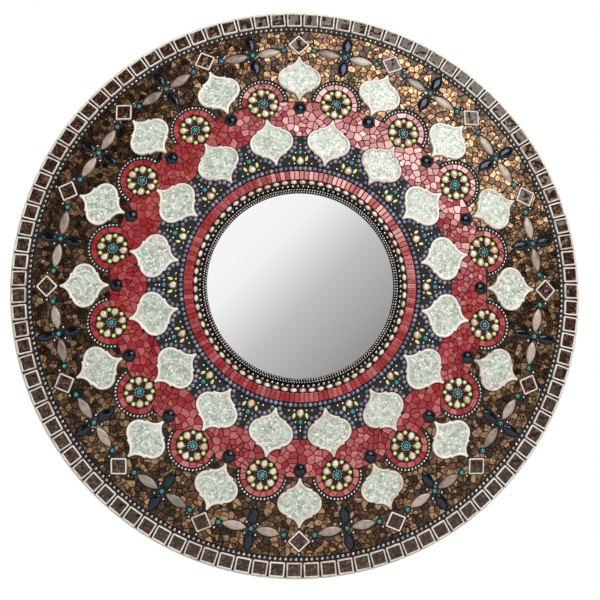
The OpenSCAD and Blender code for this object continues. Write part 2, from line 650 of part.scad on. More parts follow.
rows = max(1, round((field_out - red_field_in) / shard));
row_h = (field_out - red_field_in) / rows;
function hash(i, j) = let (v = sin(i * 127.1 + j * 311.7) * 437.5) v - floor(v);
function row_n(j) = round(2 * PI * (red_field_in + (j + 0.5) * row_h) / shard);
// Piece i of row j: neighbours in a row share their wandering ends, drawn in by half a joint
function cell(i, j) = let (n = row_n(j), low = red_field_in + j * row_h, h = joint / 2)
    [for (c = [[0, 0], [0, 1], [1, 1], [1, 0]])
        [low + (c[1] == 0 ? h : row_h - h),
            (i + c[0] + (j % 2) / 2 + wander * (hash((i + c[0]) % n, 3 * j + c[1]) * 2 - 1)) * 360 / n
                + (c[0] == 0 ? h : -h) / low * 180 / PI]];
function middle(ps) = (ps[0] + ps[1] + ps[2] + ps[3]) / 4;
function is_brown(q) = q[0] > arc_foot && from_flower(q) > arc_r;
// A polar point seen from the piece's middle, out along x and sideways along y
function flat(q, m) = [(q[0] * cos(q[1] - m[1]) - m[0]) / cos(asin(m[0] / bed_radius)), q[0] * sin(q[1] - m[1])];
function turn(a, b, c) = (b[0] - a[0]) * (c[1] - b[1]) - (b[1] - a[1]) * (c[0] - b[0]);
function all_clear(ps, brown) = min([for (i = [0:3]) for (t = [0, 0.25, 0.5, 0.75])
    clear_at(mix(ps[i], ps[(i + 1) % 4], t), brown) ? 1 : 0]) == 1;
least_bend = 8;         // a piece whose corner is blunter or thinner than this is left out
module glass_field(want_brown) {
    for (j = [0:rows - 1]) for (i = [0:row_n(j) - 1]) {
        raw = cell(i, j);
        brown = is_brown(middle(raw));
        if (brown == want_brown) {
            ps = [for (q = raw) clear_of(q, brown)];
            m = middle(ps);
            f = [for (q = ps) flat(q, m) * 0.99];
            bends = [for (k = [0:3]) turn(f[k], f[(k + 1) % 4], f[(k + 2) % 4])];
            if (min(bends) > least_bend && all_clear(ps, brown))
                on_bed(m[0], m[1]) linear_extrude(shard_t) polygon(f);
        }
    }
}
module red_field_tesserae() color("crimson") upright() glass_field(false);
module brown_field_tesserae() color("sienna") upright() glass_field(true);

domed_form();
edge_band();
cement_bed();
back_panel();
back_panel_screws();
wall_bumpers();
left_hanger_strap();
right_hanger_strap();
hanger_screws();
left_hanger_ring();
right_hanger_ring();
mirror_pads();
mirror_glass();
bezel_ring();
fine_chain_inner();
fine_chain_outer();
bronze_chain();
pearl_ring_beads();
red_edging_tesserae();
lilac_ring_beads();
inner_lantern_tiles();
inner_lantern_glass();
outer_lantern_tiles();
outer_lantern_glass();
diamond_tile_borders();
diamond_tile_glass();
rim_tile_borders();
rim_tile_glass();
rim_beads();
black_cabochons();
drop_settings();
pearl_drops();
flower_eyes();
flower_seed_beads();
green_gems();
green_leaves();
silver_beads();
turquoise_beads();
black_petals();
taupe_petals();
red_field_tesserae();
brown_field_tesserae();
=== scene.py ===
from math import acos, asin, atan2, cos, degrees, dist, hypot, pi, radians, sin, sqrt
import random

import bpy
import numpy as np
from mathutils import Matrix, Vector, kdtree


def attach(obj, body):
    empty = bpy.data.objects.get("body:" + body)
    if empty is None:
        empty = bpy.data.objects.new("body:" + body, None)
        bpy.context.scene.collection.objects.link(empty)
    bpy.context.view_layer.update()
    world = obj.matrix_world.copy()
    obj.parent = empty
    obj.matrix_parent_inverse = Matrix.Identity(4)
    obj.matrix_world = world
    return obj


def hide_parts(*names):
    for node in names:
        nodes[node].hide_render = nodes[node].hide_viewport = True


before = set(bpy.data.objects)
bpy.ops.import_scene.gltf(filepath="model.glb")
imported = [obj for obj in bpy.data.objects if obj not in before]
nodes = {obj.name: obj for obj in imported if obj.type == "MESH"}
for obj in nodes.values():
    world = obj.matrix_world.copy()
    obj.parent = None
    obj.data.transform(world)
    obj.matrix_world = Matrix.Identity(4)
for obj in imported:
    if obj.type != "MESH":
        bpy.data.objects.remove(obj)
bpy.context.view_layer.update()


# The form: a shallow dome of moulded fibreboard, hollow behind, turned true at its edge.
# A glazed band is wrapped round the edge, and it is all of the form that shows from the side.
def linear(code):
    parts = [int(code[i:i + 2], 16) / 255 for i in (1, 3, 5)]
    return tuple(p / 12.92 if p <= 0.04045 else ((p + 0.055) / 1.055) ** 2.4 for p in parts) + (1,)


def put(tree, kind, settings=None, inputs=None, stops=None, to=None):
    """Adds a node. An input is a plain value or another node's output, and to is the input it feeds."""
    node = tree.nodes.new(kind)
    for key, value in (settings or {}).items():
        setattr(node, key, value)
    for key, value in (inputs or {}).items():
        if isinstance(value, bpy.types.NodeSocket):
            tree.links.new(value, node.inputs[key])
        else:
            node.inputs[key].default_value = value
    if stops:
        ramp = node.color_ramp
        while len(ramp.elements) < len(stops):
            ramp.elements.new(0.5)
        for element, (where, code) in zip(ramp.elements, stops):
            element.position = where
            element.color = linear(code)
    if to:
        tree.links.new(node.outputs[0], to)
    return node


def new_finish(name, colour, **values):
    """Starts a material with its shader's own values. Gives it back with its tree, shader and coordinates."""
    material = bpy.data.materials.new(name)
    material.use_nodes = True
    tree = material.node_tree
    shader = tree.nodes["Principled BSDF"]
    shader.inputs["Base Color"].default_value = linear(colour)
    material.diffuse_color = linear(colour)
    for key, value in values.items():
        shader.inputs[key.replace("_", " ")].default_value = value
    here = put(tree, "ShaderNodeTexCoord").outputs["Object"]
    return material, tree, shader.inputs, here


def dress(material, *names):
    for name in names:
        nodes[name].data.materials.clear()
        nodes[name].data.materials.append(material)


def coloured_by(tree, skin, value, stops=None, depth=None):
    """Lets a value that varies over a surface give its colour by stops, and raise it by depth."""
    if stops:
        put(tree, "ShaderNodeValToRGB", inputs={"Fac": value}, stops=stops, to=skin["Base Color"])
    if depth:
        put(tree, "ShaderNodeBump", inputs={"Height": value, "Distance": depth}, to=skin["Normal"])


def grained(name, colour, noise, stops=None, depth=None, **values):
    """Starts a material with a noise, given as scale, detail and distortion, that colours and raises it.
    Gives the noise back in place of the coordinates."""
    material, tree, skin, here = new_finish(name, colour, **values)
    settings = dict(zip(("Scale", "Detail", "Distortion"), noise))
    grain = put(tree, "ShaderNodeTexNoise", inputs={"Vector": here, **settings}).outputs["Fac"]
    coloured_by(tree, skin, grain, stops, depth)
    return material, tree, skin, grain


# Moulded fibreboard: brown and matt, its felted fibres about 3 mm long
fibreboard = grained("moulded_fibreboard", "#a98d68", (330, 6), [(0.3, "#8f7350"), (0.7, "#b99c74")], 0.0004,
                     Roughness=0.85)[0]
dress(fibreboard, "domed_form")

# Crackle glaze: glossy pale green-white, with fine darker cracks about 6 mm apart
edge_glaze, tree, skin, here = new_finish("edge_crackle_glaze", "#dfe3d0", Roughness=0.22, Coat_Weight=0.5)
cracks = put(tree, "ShaderNodeTexVoronoi", {"feature": "DISTANCE_TO_EDGE"}, {"Vector": here, "Scale": 160.0})
coloured_by(tree, skin, cracks.outputs["Distance"], [(0.0, "#9da28c"), (0.05, "#cfd4c2"), (0.5, "#dde2d2")])
dress(edge_glaze, "edge_band")


# The back: a plywood panel screwed to the form's land, four rubber bumpers glued to it, and two plated
# strap hangers with hinged rings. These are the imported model's own solids in their real finishes.
# Birch plywood: pale, sanded, its long grain across the panel
plywood, tree, skin, here = new_finish("birch_plywood", "#c8a878", Roughness=0.6)
along = put(tree, "ShaderNodeMapping", inputs={"Vector": here, "Scale": (1, 12, 12)}).outputs["Vector"]
grain = put(tree, "ShaderNodeTexNoise",
            inputs={"Vector": along, "Scale": 16.0, "Detail": 8.0, "Distortion": 0.6}).outputs["Fac"]
coloured_by(tree, skin, grain, [(0.3, "#b08c5a"), (0.5, "#c9ab7c"), (0.7, "#dcc198")], 0.0002)
dress(plywood, "back_panel")

# Zinc-plated steel: cool grey metal with the plating's soft 4 mm mottle
zinc, tree, skin, mottle = grained("zinc_plated_steel", "#b9bcbd", (250, 3),
                                   [(0.3, "#9c9f9f"), (0.7, "#cbcdce")], Metallic=1.0, Roughness=0.34)
put(tree, "ShaderNodeMapRange", inputs={"Value": mottle, "To Min": 0.26, "To Max": 0.44},
    to=skin["Roughness"])
dress(zinc, "back_panel_screws", "left_hanger_strap", "right_hanger_strap", "hanger_screws",
      "left_hanger_ring", "right_hanger_ring")

# Moulded rubber: dark grey, dull, with a fine tooth
rubber = grained("moulded_rubber", "#2a2a2b", (900,), [(0.3, "#222223"), (0.7, "#343436")], 0.0001,
                 Roughness=0.75)[0]
dress(rubber, "wall_bumpers")


# The bed and the grout: near-black cement, trowelled over the dome and rubbed into every joint.
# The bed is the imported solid. The grout stands on it, lower round the small beads of the flowers.
MM = 0.001
FORM_DOME, DOME, FORM_R, FORM_EDGE = 1500.0, 1501.5, 379.0, 29.0
DOME_AT = FORM_EDGE - sqrt(FORM_DOME ** 2 - FORM_R ** 2)
REPEATS = 16
STEP = 360 / REPEATS
TILE_AXES = [90 + k * STEP for k in range(REPEATS)]
FLOWER_AXES = [90 + (k + 0.5) * STEP for k in range(REPEATS)]
FLOWER_AT, FLOWER_R = 250.1, 20.5
HUB_R = 128.5


def upright(points):
    """From the dome's own axes, in mm, to the frame's, in metres."""
    return np.stack([points[..., 0], -points[..., 2], points[..., 1]], -1) * MM


def dome_z(r):
    return DOME_AT + np.sqrt(DOME ** 2 - r ** 2)


def polar(r, a):
    return np.stack([r * np.cos(np.radians(a)), r * np.sin(np.radians(a))], -1)


def stand_on(plan, height):
    """Points seen in plan, raised off the dome along its own normal."""
    z = dome_z(np.hypot(plan[..., 0], plan[..., 1]))
    normal = np.stack([plan[..., 0], plan[..., 1], z - DOME_AT], -1) / DOME
    return upright(np.concatenate([plan, z[..., None]], -1) + normal * np.asarray(height)[..., None])


def mesh_piece(name, points, faces, material, smooth=True, tones=None):
    mesh = bpy.data.meshes.new(name)
    mesh.from_pydata([tuple(p) for p in points], [], faces)
    mesh.materials.append(material)
    mesh.polygons.foreach_set("use_smooth", [smooth] * len(mesh.polygons))
    if tones is not None:
        mesh.attributes.new("tone", "FLOAT", "POINT").data.foreach_set("value", tones)
    mesh.update()
    piece = bpy.data.objects.new(name, mesh)
    bpy.context.scene.collection.objects.link(piece)
    return piece


def belongs(piece, slot, *instead_of):
    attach(piece, "frame")
    if instead_of:
        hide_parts(*instead_of)


def rings_of_faces(rows, count, start=0):
    """Quads between rows of count points, each row closed on itself."""
    return [(start + i * count + j, start + i * count + (j + 1) % count,
             start + (i + 1) * count + (j + 1) % count, start + (i + 1) * count + j)
            for i in range(rows - 1) for j in range(count)]


# Cement grout: almost black and matt, with sand of about 1 mm and soft swells left by the float
grout = grained("dark_cement_grout", "#171411", (800, 6), [(0.35, "#0d0b0a"), (0.75, "#2a2420")], 0.0005,
                Roughness=0.7)[0]
dress(grout, "cement_bed")

# It lies low between the bead rings and in the flowers, and rises over a short slope to the fields
BANDS_TO, BAND_LEVEL, FLOWER_LEVEL, FIELD_RISE, SLOPE, SWELL = 161, 0.9, 1.0, 1.3, 3, 0.07
spokes = 720
circles = np.arange(HUB_R, FORM_R + 0.1, 2.6)
flowers = polar(FLOWER_AT, np.array(FLOWER_AXES))
random.seed(3)
swells = [(random.uniform(0.02, 0.12), random.uniform(0, 6.3), random.uniform(0, 6.3)) for _ in range(8)]
plans, levels = [], []
for r in circles:
    plan = polar(np.full(spokes, r), -np.arange(spokes) * 360 / spokes)
    near = np.hypot(*(plan[:, None] - flowers[None]).transpose(2, 0, 1)).min(1)
    level = FLOWER_LEVEL + FIELD_RISE * np.clip((near - FLOWER_R) / SLOPE, 0, 1)
    if r < BANDS_TO:
        level = np.full(spokes, BAND_LEVEL)
    for fine, lean, phase in swells:
        across = plan[:, 0] * cos(lean) + plan[:, 1] * sin(lean)
        level = level + SWELL * np.sin(fine * across + phase)
    plans.append(plan)
    levels.append(level if circles[0] < r < circles[-1] else level * 0 + 0.02)
belongs(mesh_piece("grout_fill", stand_on(np.concatenate(plans), np.concatenate(levels)),
                   rings_of_faces(len(circles), spokes), grout), "cement")


# The mirror: a stock disc of float glass, silvered behind, on foam pads inside a dark metal bezel.
# The pads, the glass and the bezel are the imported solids.
# Silvered glass: a clean reflection, with the faintest smears of wiping
mirror, tree, skin, smears = grained("silvered_float_glass", "#f9f9f9", (14, 2), Metallic=1.0, Roughness=0.01)
put(tree, "ShaderNodeMapRange", inputs={"Value": smears, "To Min": 0.0, "To Max": 0.03}, to=skin["Roughness"])
dress(mirror, "mirror_glass")

# Closed-cell foam tape: white, matt, fine-pored
foam, tree, skin, here = new_finish("closed_cell_foam", "#e6e4df", Roughness=0.9)
pores = put(tree, "ShaderNodeTexVoronoi", inputs={"Vector": here, "Scale": 1500.0}).outputs["Distance"]
coloured_by(tree, skin, pores, [(0.0, "#eeece8"), (1.0, "#cfccc6")], 0.0002)
dress(foam, "mirror_pads")

# Blackened metal: near-black brown with a low sheen, rubbed lighter in patches
dark_metal = grained("blackened_metal", "#3a322c", (120, 3), [(0.4, "#26201c"), (0.75, "#5d5148")],
                     Metallic=0.9, Roughness=0.4)[0]
dress(dark_metal, "bezel_ring")


# The ball chains: two fine silver ones lie on the bezel, and a bronze one lies on the bed beside it.
# Each is a stamped ball chain, its hollow balls held a little apart by short links.
def turned(rows, sides, closed=False):
    """A shape turned round z from rows of (radius, height), a row of radius 0 being a point."""
    points, faces, starts = [], [], []
    for r, z in rows:
        starts.append(len(points))
        round_it = sides if r else 1
        points += [(r * cos(t), r * sin(t), z)
                   for t in (j * 2 * pi / sides for j in range(round_it))]
    for i in range(len(rows) if closed else len(rows) - 1):
        a, b = starts[i], starts[(i + 1) % len(rows)]
        for j in range(sides):
            k = (j + 1) % sides
            if not rows[i][0]:
                faces.append((a, b + k, b + j))
            elif not rows[(i + 1) % len(rows)][0]:
                faces.append((a + j, a + k, b))
            else:
                faces.append((a + j, a + k, b + k, b + j))
    return np.array(points), faces


def lie_along_y(shape, lift):
    """Lays a turned shape on its side, its axis along y and its centre raised by lift."""
    points, faces = shape
    return points[:, [0, 2, 1]] * (-1, 1, 1) + (0, 0, lift), faces


def laid_tree():
    """Sets one piece on every point, turned as the point says, and makes them all one mesh."""
    tree = bpy.data.node_groups.new("laid_pieces", "GeometryNodeTree")
    tree.is_modifier = True
    for name, kind in (("Geometry", "Geometry"), ("Piece", "Object"), ("Finish", "Material")):
        tree.interface.new_socket(name, in_out="INPUT", socket_type="NodeSocket" + kind)
    tree.interface.new_socket("Geometry", in_out="OUTPUT", socket_type="NodeSocketGeometry")
    given = put(tree, "NodeGroupInput").outputs
    piece = put(tree, "GeometryNodeObjectInfo", inputs={"Object": given["Piece"]})
    turn = put(tree, "GeometryNodeInputNamedAttribute", {"data_type": "FLOAT_VECTOR"}, {"Name": "turn"})
    turning = put(tree, "FunctionNodeEulerToRotation", inputs={"Euler": turn.outputs["Attribute"]})
    laid = put(tree, "GeometryNodeInstanceOnPoints", inputs={
        "Points": given["Geometry"], "Instance": piece.outputs["Geometry"],
        "Rotation": turning.outputs[0]})
    real = put(tree, "GeometryNodeRealizeInstances", inputs={"Geometry": laid.outputs["Instances"]})
    dressed = put(tree, "GeometryNodeSetMaterial",
                  inputs={"Geometry": real.outputs[0], "Material": given["Finish"]})
    put(tree, "NodeGroupOutput", inputs={0: dressed.outputs["Geometry"]})
    return tree


LAID = laid_tree()
SOCKETS = {item.name: item.identifier for item in LAID.interface.items_tree if item.in_out == "INPUT"}
UPRIGHT = Matrix.Rotation(pi / 2, 4, "X")


def spot(r, a, spin=0.0):
    """A place on the bed: x points away from the middle, turned by spin, and z off the surface."""
    return (Matrix.Rotation(radians(a), 4, "Z") @ Matrix.Translation((0, 0, DOME_AT))
            @ Matrix.Rotation(asin(r / DOME), 4, "Y") @ Matrix.Translation((0, 0, DOME))
            @ Matrix.Rotation(radians(spin), 4, "Z"))


def beside(r, a, out, side, spin=0.0):
    """The same at an offset out and sideways of a point, its spin counted from that point's x."""
    away = degrees(atan2(side, r + out))
    return spot(hypot(r + out, side), a + away, spin - away)


def lay(name, shape, spots, material, slot, *instead_of, smooth=True):
    """Lays one shape, in mm, at many spots and makes the result a plain mesh. Its tone differs from piece
    to piece, and its crown grows from 0 at the bed to 1 at a piece's top."""
    turns = [UPRIGHT @ s for s in spots]
    holder = bpy.data.objects.new(name + "_spots", bpy.data.meshes.new(name))
    holder.data.from_pydata([tuple(t.translation * MM) for t in turns], [], [])
    angles = holder.data.attributes.new("turn", "FLOAT_VECTOR", "POINT")
    angles.data.foreach_set("vector", [x for t in turns for x in t.to_euler()])
    random.seed(name)
    tones = holder.data.attributes.new("tone", "FLOAT", "POINT")
    tones.data.foreach_set("value", [random.random() for _ in turns])
    bpy.context.scene.collection.objects.link(holder)
    pattern = mesh_piece(name + "_pattern", shape[0] * MM, shape[1], material, smooth)
    heights = shape[0][:, 2] / shape[0][:, 2].max()
    pattern.data.attributes.new("crown", "FLOAT", "POINT").data.foreach_set("value", heights)
    modifier = holder.modifiers.new("laid", "NODES")
    modifier.node_group = LAID
    modifier[SOCKETS["Piece"]] = pattern
    modifier[SOCKETS["Finish"]] = material
    bpy.context.view_layer.update()
    mesh = bpy.data.meshes.new_from_object(holder.evaluated_get(bpy.context.evaluated_depsgraph_get()))
    mesh.name = name
    bpy.data.objects.remove(holder)
    bpy.data.objects.remove(pattern)
    piece = bpy.data.objects.new(name, mesh)
    bpy.context.scene.collection.objects.link(piece)
    belongs(piece, slot, *instead_of)


def in_ring(r, pitch):
    """The angles at which pieces stand round a ring, as many as fit at the pitch."""
    count = int(180 / degrees(asin(pitch / 2 / r)))
    return [i * 360 / count for i in range(count)]


def belly(r):
    """The rows of a ball of radius r between its two ends."""
    return [(r * cos(t), r * sin(t)) for t in np.radians((-54, -18, 18, 54))]


def chain_ball(d, pitch):
    """One ball of a chain and the link to the next."""
    r, inside, thick = d / 2, 0.3 * d / 2, 0.16 * d / 2
    ball = turned([(0, -r)] + belly(r) + [(0, r)], 9)
    link = turned([(0, inside), (thick, inside), (thick, pitch - inside), (0, pitch - inside)], 5)
    points = np.concatenate([ball[0], link[0]])
    faces = ball[1] + [tuple(i + len(ball[0]) for i in f) for f in link[1]]
    return lie_along_y((points, faces), r)


def painted_shade_below(tree, skin, plate, stops):
    """Darkens a plated colour towards the bed by each piece's crown: painted shade on the lower part of every
    ball and bead.
    """
    crown = put(tree, "ShaderNodeAttribute", {"attribute_name": "crown"}).outputs["Fac"]
    shade_by_height = put(tree, "ShaderNodeValToRGB", inputs={"Fac": crown}, stops=stops).outputs["Color"]
    shaded_plate = put(tree, "ShaderNodeMix", {"data_type": "RGBA", "blend_type": "MULTIPLY"},
               {"Factor": 1.0, 6: plate.outputs["Color"], 7: shade_by_height})
    tree.links.new(shaded_plate.outputs[2], skin["Base Color"])


# Plated steel: silver balls tarnished a few balls at a time, with painted shade that darkens each ball from
# its top down towards the bed
silver, tree, skin, tarnish = grained("plated_silver", "#bdb6ac", (140, 2), Metallic=1.0, Roughness=0.14)
plate = put(tree, "ShaderNodeValToRGB", inputs={"Fac": tarnish}, stops=[(0.35, "#c4bdb4"), (0.65, "#fbf8f4")])
painted_shade_below(tree, skin, plate, [(0.76, "#2e2824"), (0.93, "#ffffff")])

# Aged bronze plate: warm brown balls with a soft shine, with painted shade that turns them near black towards
# the bed
bronze, tree, skin, tarnish = grained("aged_bronze", "#97735c", (110, 2), Metallic=1.0, Roughness=0.26)
plate = put(tree, "ShaderNodeValToRGB", inputs={"Fac": tarnish}, stops=[(0.35, "#b9a699"), (0.65, "#fbeee4")])
painted_shade_below(tree, skin, plate, [(0.76, "#2c1c17"), (0.93, "#ffffff")])

# The fine chains lie flat on the bezel's lip, whose top is 5.23 mm above the hub
LIP = DOME_AT + sqrt(FORM_DOME ** 2 - 128.2 ** 2) + 5.23
FINE_BALL, FINE_PITCH = 2.6, 3.45
BRONZE_BALL, BRONZE_PITCH, BRONZE_AT = 4.5, 6.7, 131.05
for name, r in (("fine_chain_inner", 123.6), ("fine_chain_outer", 126.5)):
    lay(name + "_balls", chain_ball(FINE_BALL, FINE_PITCH), [
        Matrix.Rotation(radians(a), 4, "Z") @ Matrix.Translation((r, 0, LIP + 0.03))
        for a in in_ring(r, FINE_PITCH)], silver, "silver_balls", name)
lay("bronze_chain_balls", chain_ball(BRONZE_BALL, BRONZE_PITCH),
    [spot(BRONZE_AT, a) for a in in_ring(BRONZE_AT, BRONZE_PITCH)], bronze, "bronze_balls", "bronze_chain")


# The bead rings round the mirror: oval pearls, then strips of red glass set side by side like a
# brick course on end, then lilac beads. All are pressed into the bed, the beads threaded end to end.
PEARL_W, PEARL_L, PEARL_AT, PEARL_PITCH = 6.0, 9.0, 136.6, 11.7
RED_IN, RED_L, RED_T, RED_PITCH, RED_JOINT = 140.2, 11.8, 4.0, 6.05, 0.5


def bead(d, sides=9):
    """A turned bead with its drilled hole along y, a little flattened at the hole's ends."""
    r, hole = d / 2, 0.26 * d / 2
    rows = [(hole, -0.9 * r)] + belly(r) + [(hole, 0.9 * r)]
    return lie_along_y(turned(rows, sides, closed=True), r)


def strip(length, half_in, half_out, t):
    """A cut glass strip, its upper edges slightly eased."""
    rows = []
    for inset, z in ((0, 0), (0, t - 0.6), (0.25, t - 0.15), (0.7, t)):
        x, a, b = length / 2 - inset, half_in - inset, half_out - inset
        rows += [(-x, -a, z), (x, -b, z), (x, b, z), (-x, a, z)]
    return np.array(rows), rings_of_faces(4, 4) + [(12, 13, 14, 15), (3, 2, 1, 0)]


def own_shade(tree, base, weight, stops, to=None):
    """Colours each piece by its own tone, times weight, and by a base value that varies over it."""
    each = put(tree, "ShaderNodeAttribute", {"attribute_name": "tone"}).outputs["Fac"]
    blend = put(tree, "ShaderNodeMath", {"operation": "MULTIPLY_ADD"}, {0: each, 1: weight, 2: base})
    ramp = put(tree, "ShaderNodeValToRGB", inputs={"Fac": blend.outputs[0]}, stops=stops, to=to)
    return ramp.outputs["Color"]


# Pearl glass: champagne nacre under a clear lacquer, with a painted sheen and shade that turn it darker and
# pinker low round its sides
pearl, tree, skin, cloud = grained("champagne_pearl", "#d9c3a9", (260, 2), Roughness=0.3, Coat_Weight=0.8,
                                   Coat_Roughness=0.08, Metallic=0.25)
face_on = own_shade(tree, cloud, 0.5, [(0.45, "#d0b698"), (0.75, "#e9dac5"), (1.0, "#f6eee2")])
# Low on each piece the nacre is mixed with a darker pink: painted sheen and shade
crown = put(tree, "ShaderNodeAttribute", {"attribute_name": "crown"}).outputs["Fac"]
low = put(tree, "ShaderNodeMapRange", inputs={"Value": crown, "From Min": 0.95, "From Max": 0.55}).outputs[0]
side_sheen = put(tree, "ShaderNodeMix", {"data_type": "RGBA"}, {"Factor": low, 6: face_on, 7: linear("#b0857c")})
tree.links.new(side_sheen.outputs[2], skin["Base Color"])

half_l = PEARL_L / 2
oval = [(0.8, -half_l), (1.9, -0.78 * half_l), (2.75, -0.36 * half_l), (3.0, 0), (2.75, 0.36 * half_l),
        (1.9, 0.78 * half_l), (0.8, half_l)]
lay("pearl_ring", lie_along_y(turned(oval, 10, closed=True), PEARL_W / 2),
    [spot(PEARL_AT, a) for a in in_ring(PEARL_AT, PEARL_PITCH)], pearl, "pearl", "pearl_ring_beads")

# Red glass: deep red cast sheet, streaked, each piece its own shade, cut edges catching the light
red_glass, tree, skin, streak = grained("red_cast_glass", "#a3252b", (190, 4, 1.2), depth=0.0006,
                                        Roughness=0.2, Coat_IOR=2.4, Coat_Roughness=0.27)
each = put(tree, "ShaderNodeAttribute", {"attribute_name": "tone"}).outputs["Fac"]
put(tree, "ShaderNodeMapRange", inputs={"Value": each, "From Min": 0.2, "To Min": 0.05, "To Max": 1.0},
    to=skin["Coat Weight"])
own_shade(tree, streak, 0.4, [(0.35, "#6e1118"), (0.6, "#971d23"), (0.8, "#ae2b2f"), (0.95, "#c04e4b")],
          skin["Base Color"])

reds = in_ring(RED_IN, RED_PITCH)
half_step = sin(pi / len(reds))
half_in, half_out = (r * half_step - RED_JOINT / 2 for r in (RED_IN, RED_IN + RED_L))
lay("red_edging", strip(RED_L, half_in, half_out, RED_T), [spot(RED_IN + RED_L / 2, a) for a in reds],
    red_glass, "red_glass", "red_edging_tesserae", smooth=False)


# The lantern tiles: cast ceramic frames with four lobes and pointed ends, in two staggered courses.
# Each holds a pool of glass that was melted in and cracked as it cooled.
INNER_AT, OUTER_AT = 194.1, 281.302
LANTERN_L, LANTERN_W = 65.0, 58.0
LOBE_R, NOTCH_R, TIP = 0.254 * LANTERN_L, 0.25 * LANTERN_L, 1.4
LOBE_AT = LANTERN_W / 2 - LOBE_R
CUSP_X, CUSP_Y = 0.286 * LANTERN_L, 0.29 * LANTERN_W
reach, rise = LANTERN_L / 2 - CUSP_X, CUSP_Y - TIP
chord = hypot(reach, rise)
bow = sqrt(NOTCH_R ** 2 - chord ** 2 / 4)
NOTCH_X = (LANTERN_L / 2 + CUSP_X) / 2 + bow * rise / chord
NOTCH_Y = (CUSP_Y + TIP) / 2 + bow * reach / chord


def lantern(e):
    """The tile's outline drawn in by e, anticlockwise, with as many points whatever e is."""
    notch, lobe = NOTCH_R + e, LOBE_R - e
    tip_x = LANTERN_L / 2 - 1.9 * e
    tip_y = NOTCH_Y - sqrt(notch ** 2 - (NOTCH_X - tip_x) ** 2)
    if tip_y < 0.3:
        tip_y = 0.3
        tip_x = NOTCH_X - sqrt(notch ** 2 - (NOTCH_Y - tip_y) ** 2)
    side_y = CUSP_Y - e
    side_x = NOTCH_X - sqrt(notch ** 2 - (NOTCH_Y - side_y) ** 2)
    first = atan2(tip_y - NOTCH_Y, tip_x - NOTCH_X) % (2 * pi)
    last = atan2(side_y - NOTCH_Y, side_x - NOTCH_X) % (2 * pi)
    quarter = [(NOTCH_X + notch * cos(t), NOTCH_Y + notch * sin(t))
               for t in np.linspace(first, last, 8)]
    shelf = atan2(side_y - LOBE_AT, sqrt(max(lobe ** 2 - (side_y - LOBE_AT) ** 2, 0)))
    quarter += [(lobe * cos(t), LOBE_AT + lobe * sin(t))
                for t in np.linspace(shelf, pi / 2, 8)]
    half = quarter + [(-x, y) for x, y in quarter[-2::-1]]
    return np.array(half + [(-x, -y) for x, y in half])


def stacked(loops, cap=True):
    """Faces through loops of (outline, height), closed over the last one."""
    points = np.concatenate([np.column_stack([loop, np.full(len(loop), z)]) for loop, z in loops])
    count = len(loops[0][0])
    faces = rings_of_faces(len(loops), count)
    if cap:
        top = (len(loops) - 1) * count
        middle = len(points)
        points = np.concatenate([points, [[*points[top:, :2].mean(0), points[-1, 2] + 0.1]]])
        faces += [(top + j, top + (j + 1) % count, middle) for j in range(count)]
    return points, faces


# Glazed ivory ceramic: warm cream under a clear gloss, clouded browner in patches
ivory, tree, skin, cloud = grained("ivory_glazed_ceramic", "#e6d8c8", (130, 5), Roughness=0.28,
                                   Coat_Weight=0.5, Coat_Roughness=0.1)
own_shade(tree, cloud, 0.35, [(0.38, "#bbaa99"), (0.58, "#ddd1c3"), (0.95, "#f1ebe2")], skin["Base Color"])

# Crackle glass: pale grey-green cullet fused into chips 3 mm across, with bright and dark flecks
crackle, tree, skin, here = new_finish("crackle_glass", "#c9d0c2", Roughness=0.2, Coat_Weight=0.4,
                                       Coat_Roughness=0.05)
chips = put(tree, "ShaderNodeTexVoronoi", inputs={"Vector": here, "Scale": 330.0}).outputs
seams = put(tree, "ShaderNodeTexVoronoi", {"feature": "DISTANCE_TO_EDGE"}, {"Vector": here, "Scale": 330.0})
shade = put(tree, "ShaderNodeSeparateColor", inputs={"Color": chips["Color"]}).outputs["Red"]
chip = put(tree, "ShaderNodeValToRGB", inputs={"Fac": shade},
           stops=[(0.0, "#a3ab9c"), (0.3, "#c6cdbf"), (0.75, "#dce1d7"), (1.0, "#f5f7f2")]).outputs["Color"]
seam = put(tree, "ShaderNodeValToRGB", inputs={"Fac": seams.outputs["Distance"]},
           stops=[(0.0, "#7f8878"), (0.12, "#ffffff")]).outputs["Color"]
mixed = put(tree, "ShaderNodeMix", {"data_type": "RGBA", "blend_type": "MULTIPLY"},
            {"Factor": 0.7, 6: chip, 7: seam})
tree.links.new(mixed.outputs[2], skin["Base Color"])
put(tree, "ShaderNodeBump", inputs={"Height": seams.outputs["Distance"], "Distance": 0.0012, "Strength": 0.4},
    to=skin["Normal"])

frame_loops = [(lantern(e), z) for e, z in ((0, 0), (0, 5.0), (0.35, 6.0), (1.1, 6.5), (2.3, 6.5), (3.2, 6.0),
                                            (3.8, 4.9))]
POOL_Z, POOL_SWELL = 5.25, 0.5
pool = lantern(4.4)
pool_loops = [(lantern(3.5), 5.5), (pool, POOL_Z)]
pool_loops += [(pool * s, POOL_Z + POOL_SWELL * (1 - s)) for s in (0.8, 0.55, 0.28)]
for row, r, axes in (("inner", INNER_AT, FLOWER_AXES), ("outer", OUTER_AT, TILE_AXES)):
    spots = [spot(r, a) for a in axes]
    lay(row + "_lantern_frames", stacked(frame_loops, cap=False), spots, ivory, "ivory_ceramic",
        row + "_lantern_tiles")
    lay(row + "_lantern_pools", stacked(pool_loops), spots, crackle, "crackle_glass", row + "_lantern_glass")

# Lilac lustre glass: greyed violet beads, some bluer and some browner, with a metallic bloom
lilac, tree, skin, here = new_finish("lilac_lustre_glass", "#7d7794", Roughness=0.18, Metallic=0.45,
                                     Coat_Weight=0.5)
each = put(tree, "ShaderNodeAttribute", {"attribute_name": "tone"}).outputs["Fac"]
coloured_by(tree, skin, each, [(0.0, "#565a70"), (0.5, "#777b92"), (1.0, "#a39fae")])
put(tree, "ShaderNodeMapRange", inputs={"Value": each, "To Min": 0.1, "To Max": 0.26}, to=skin["Roughness"])

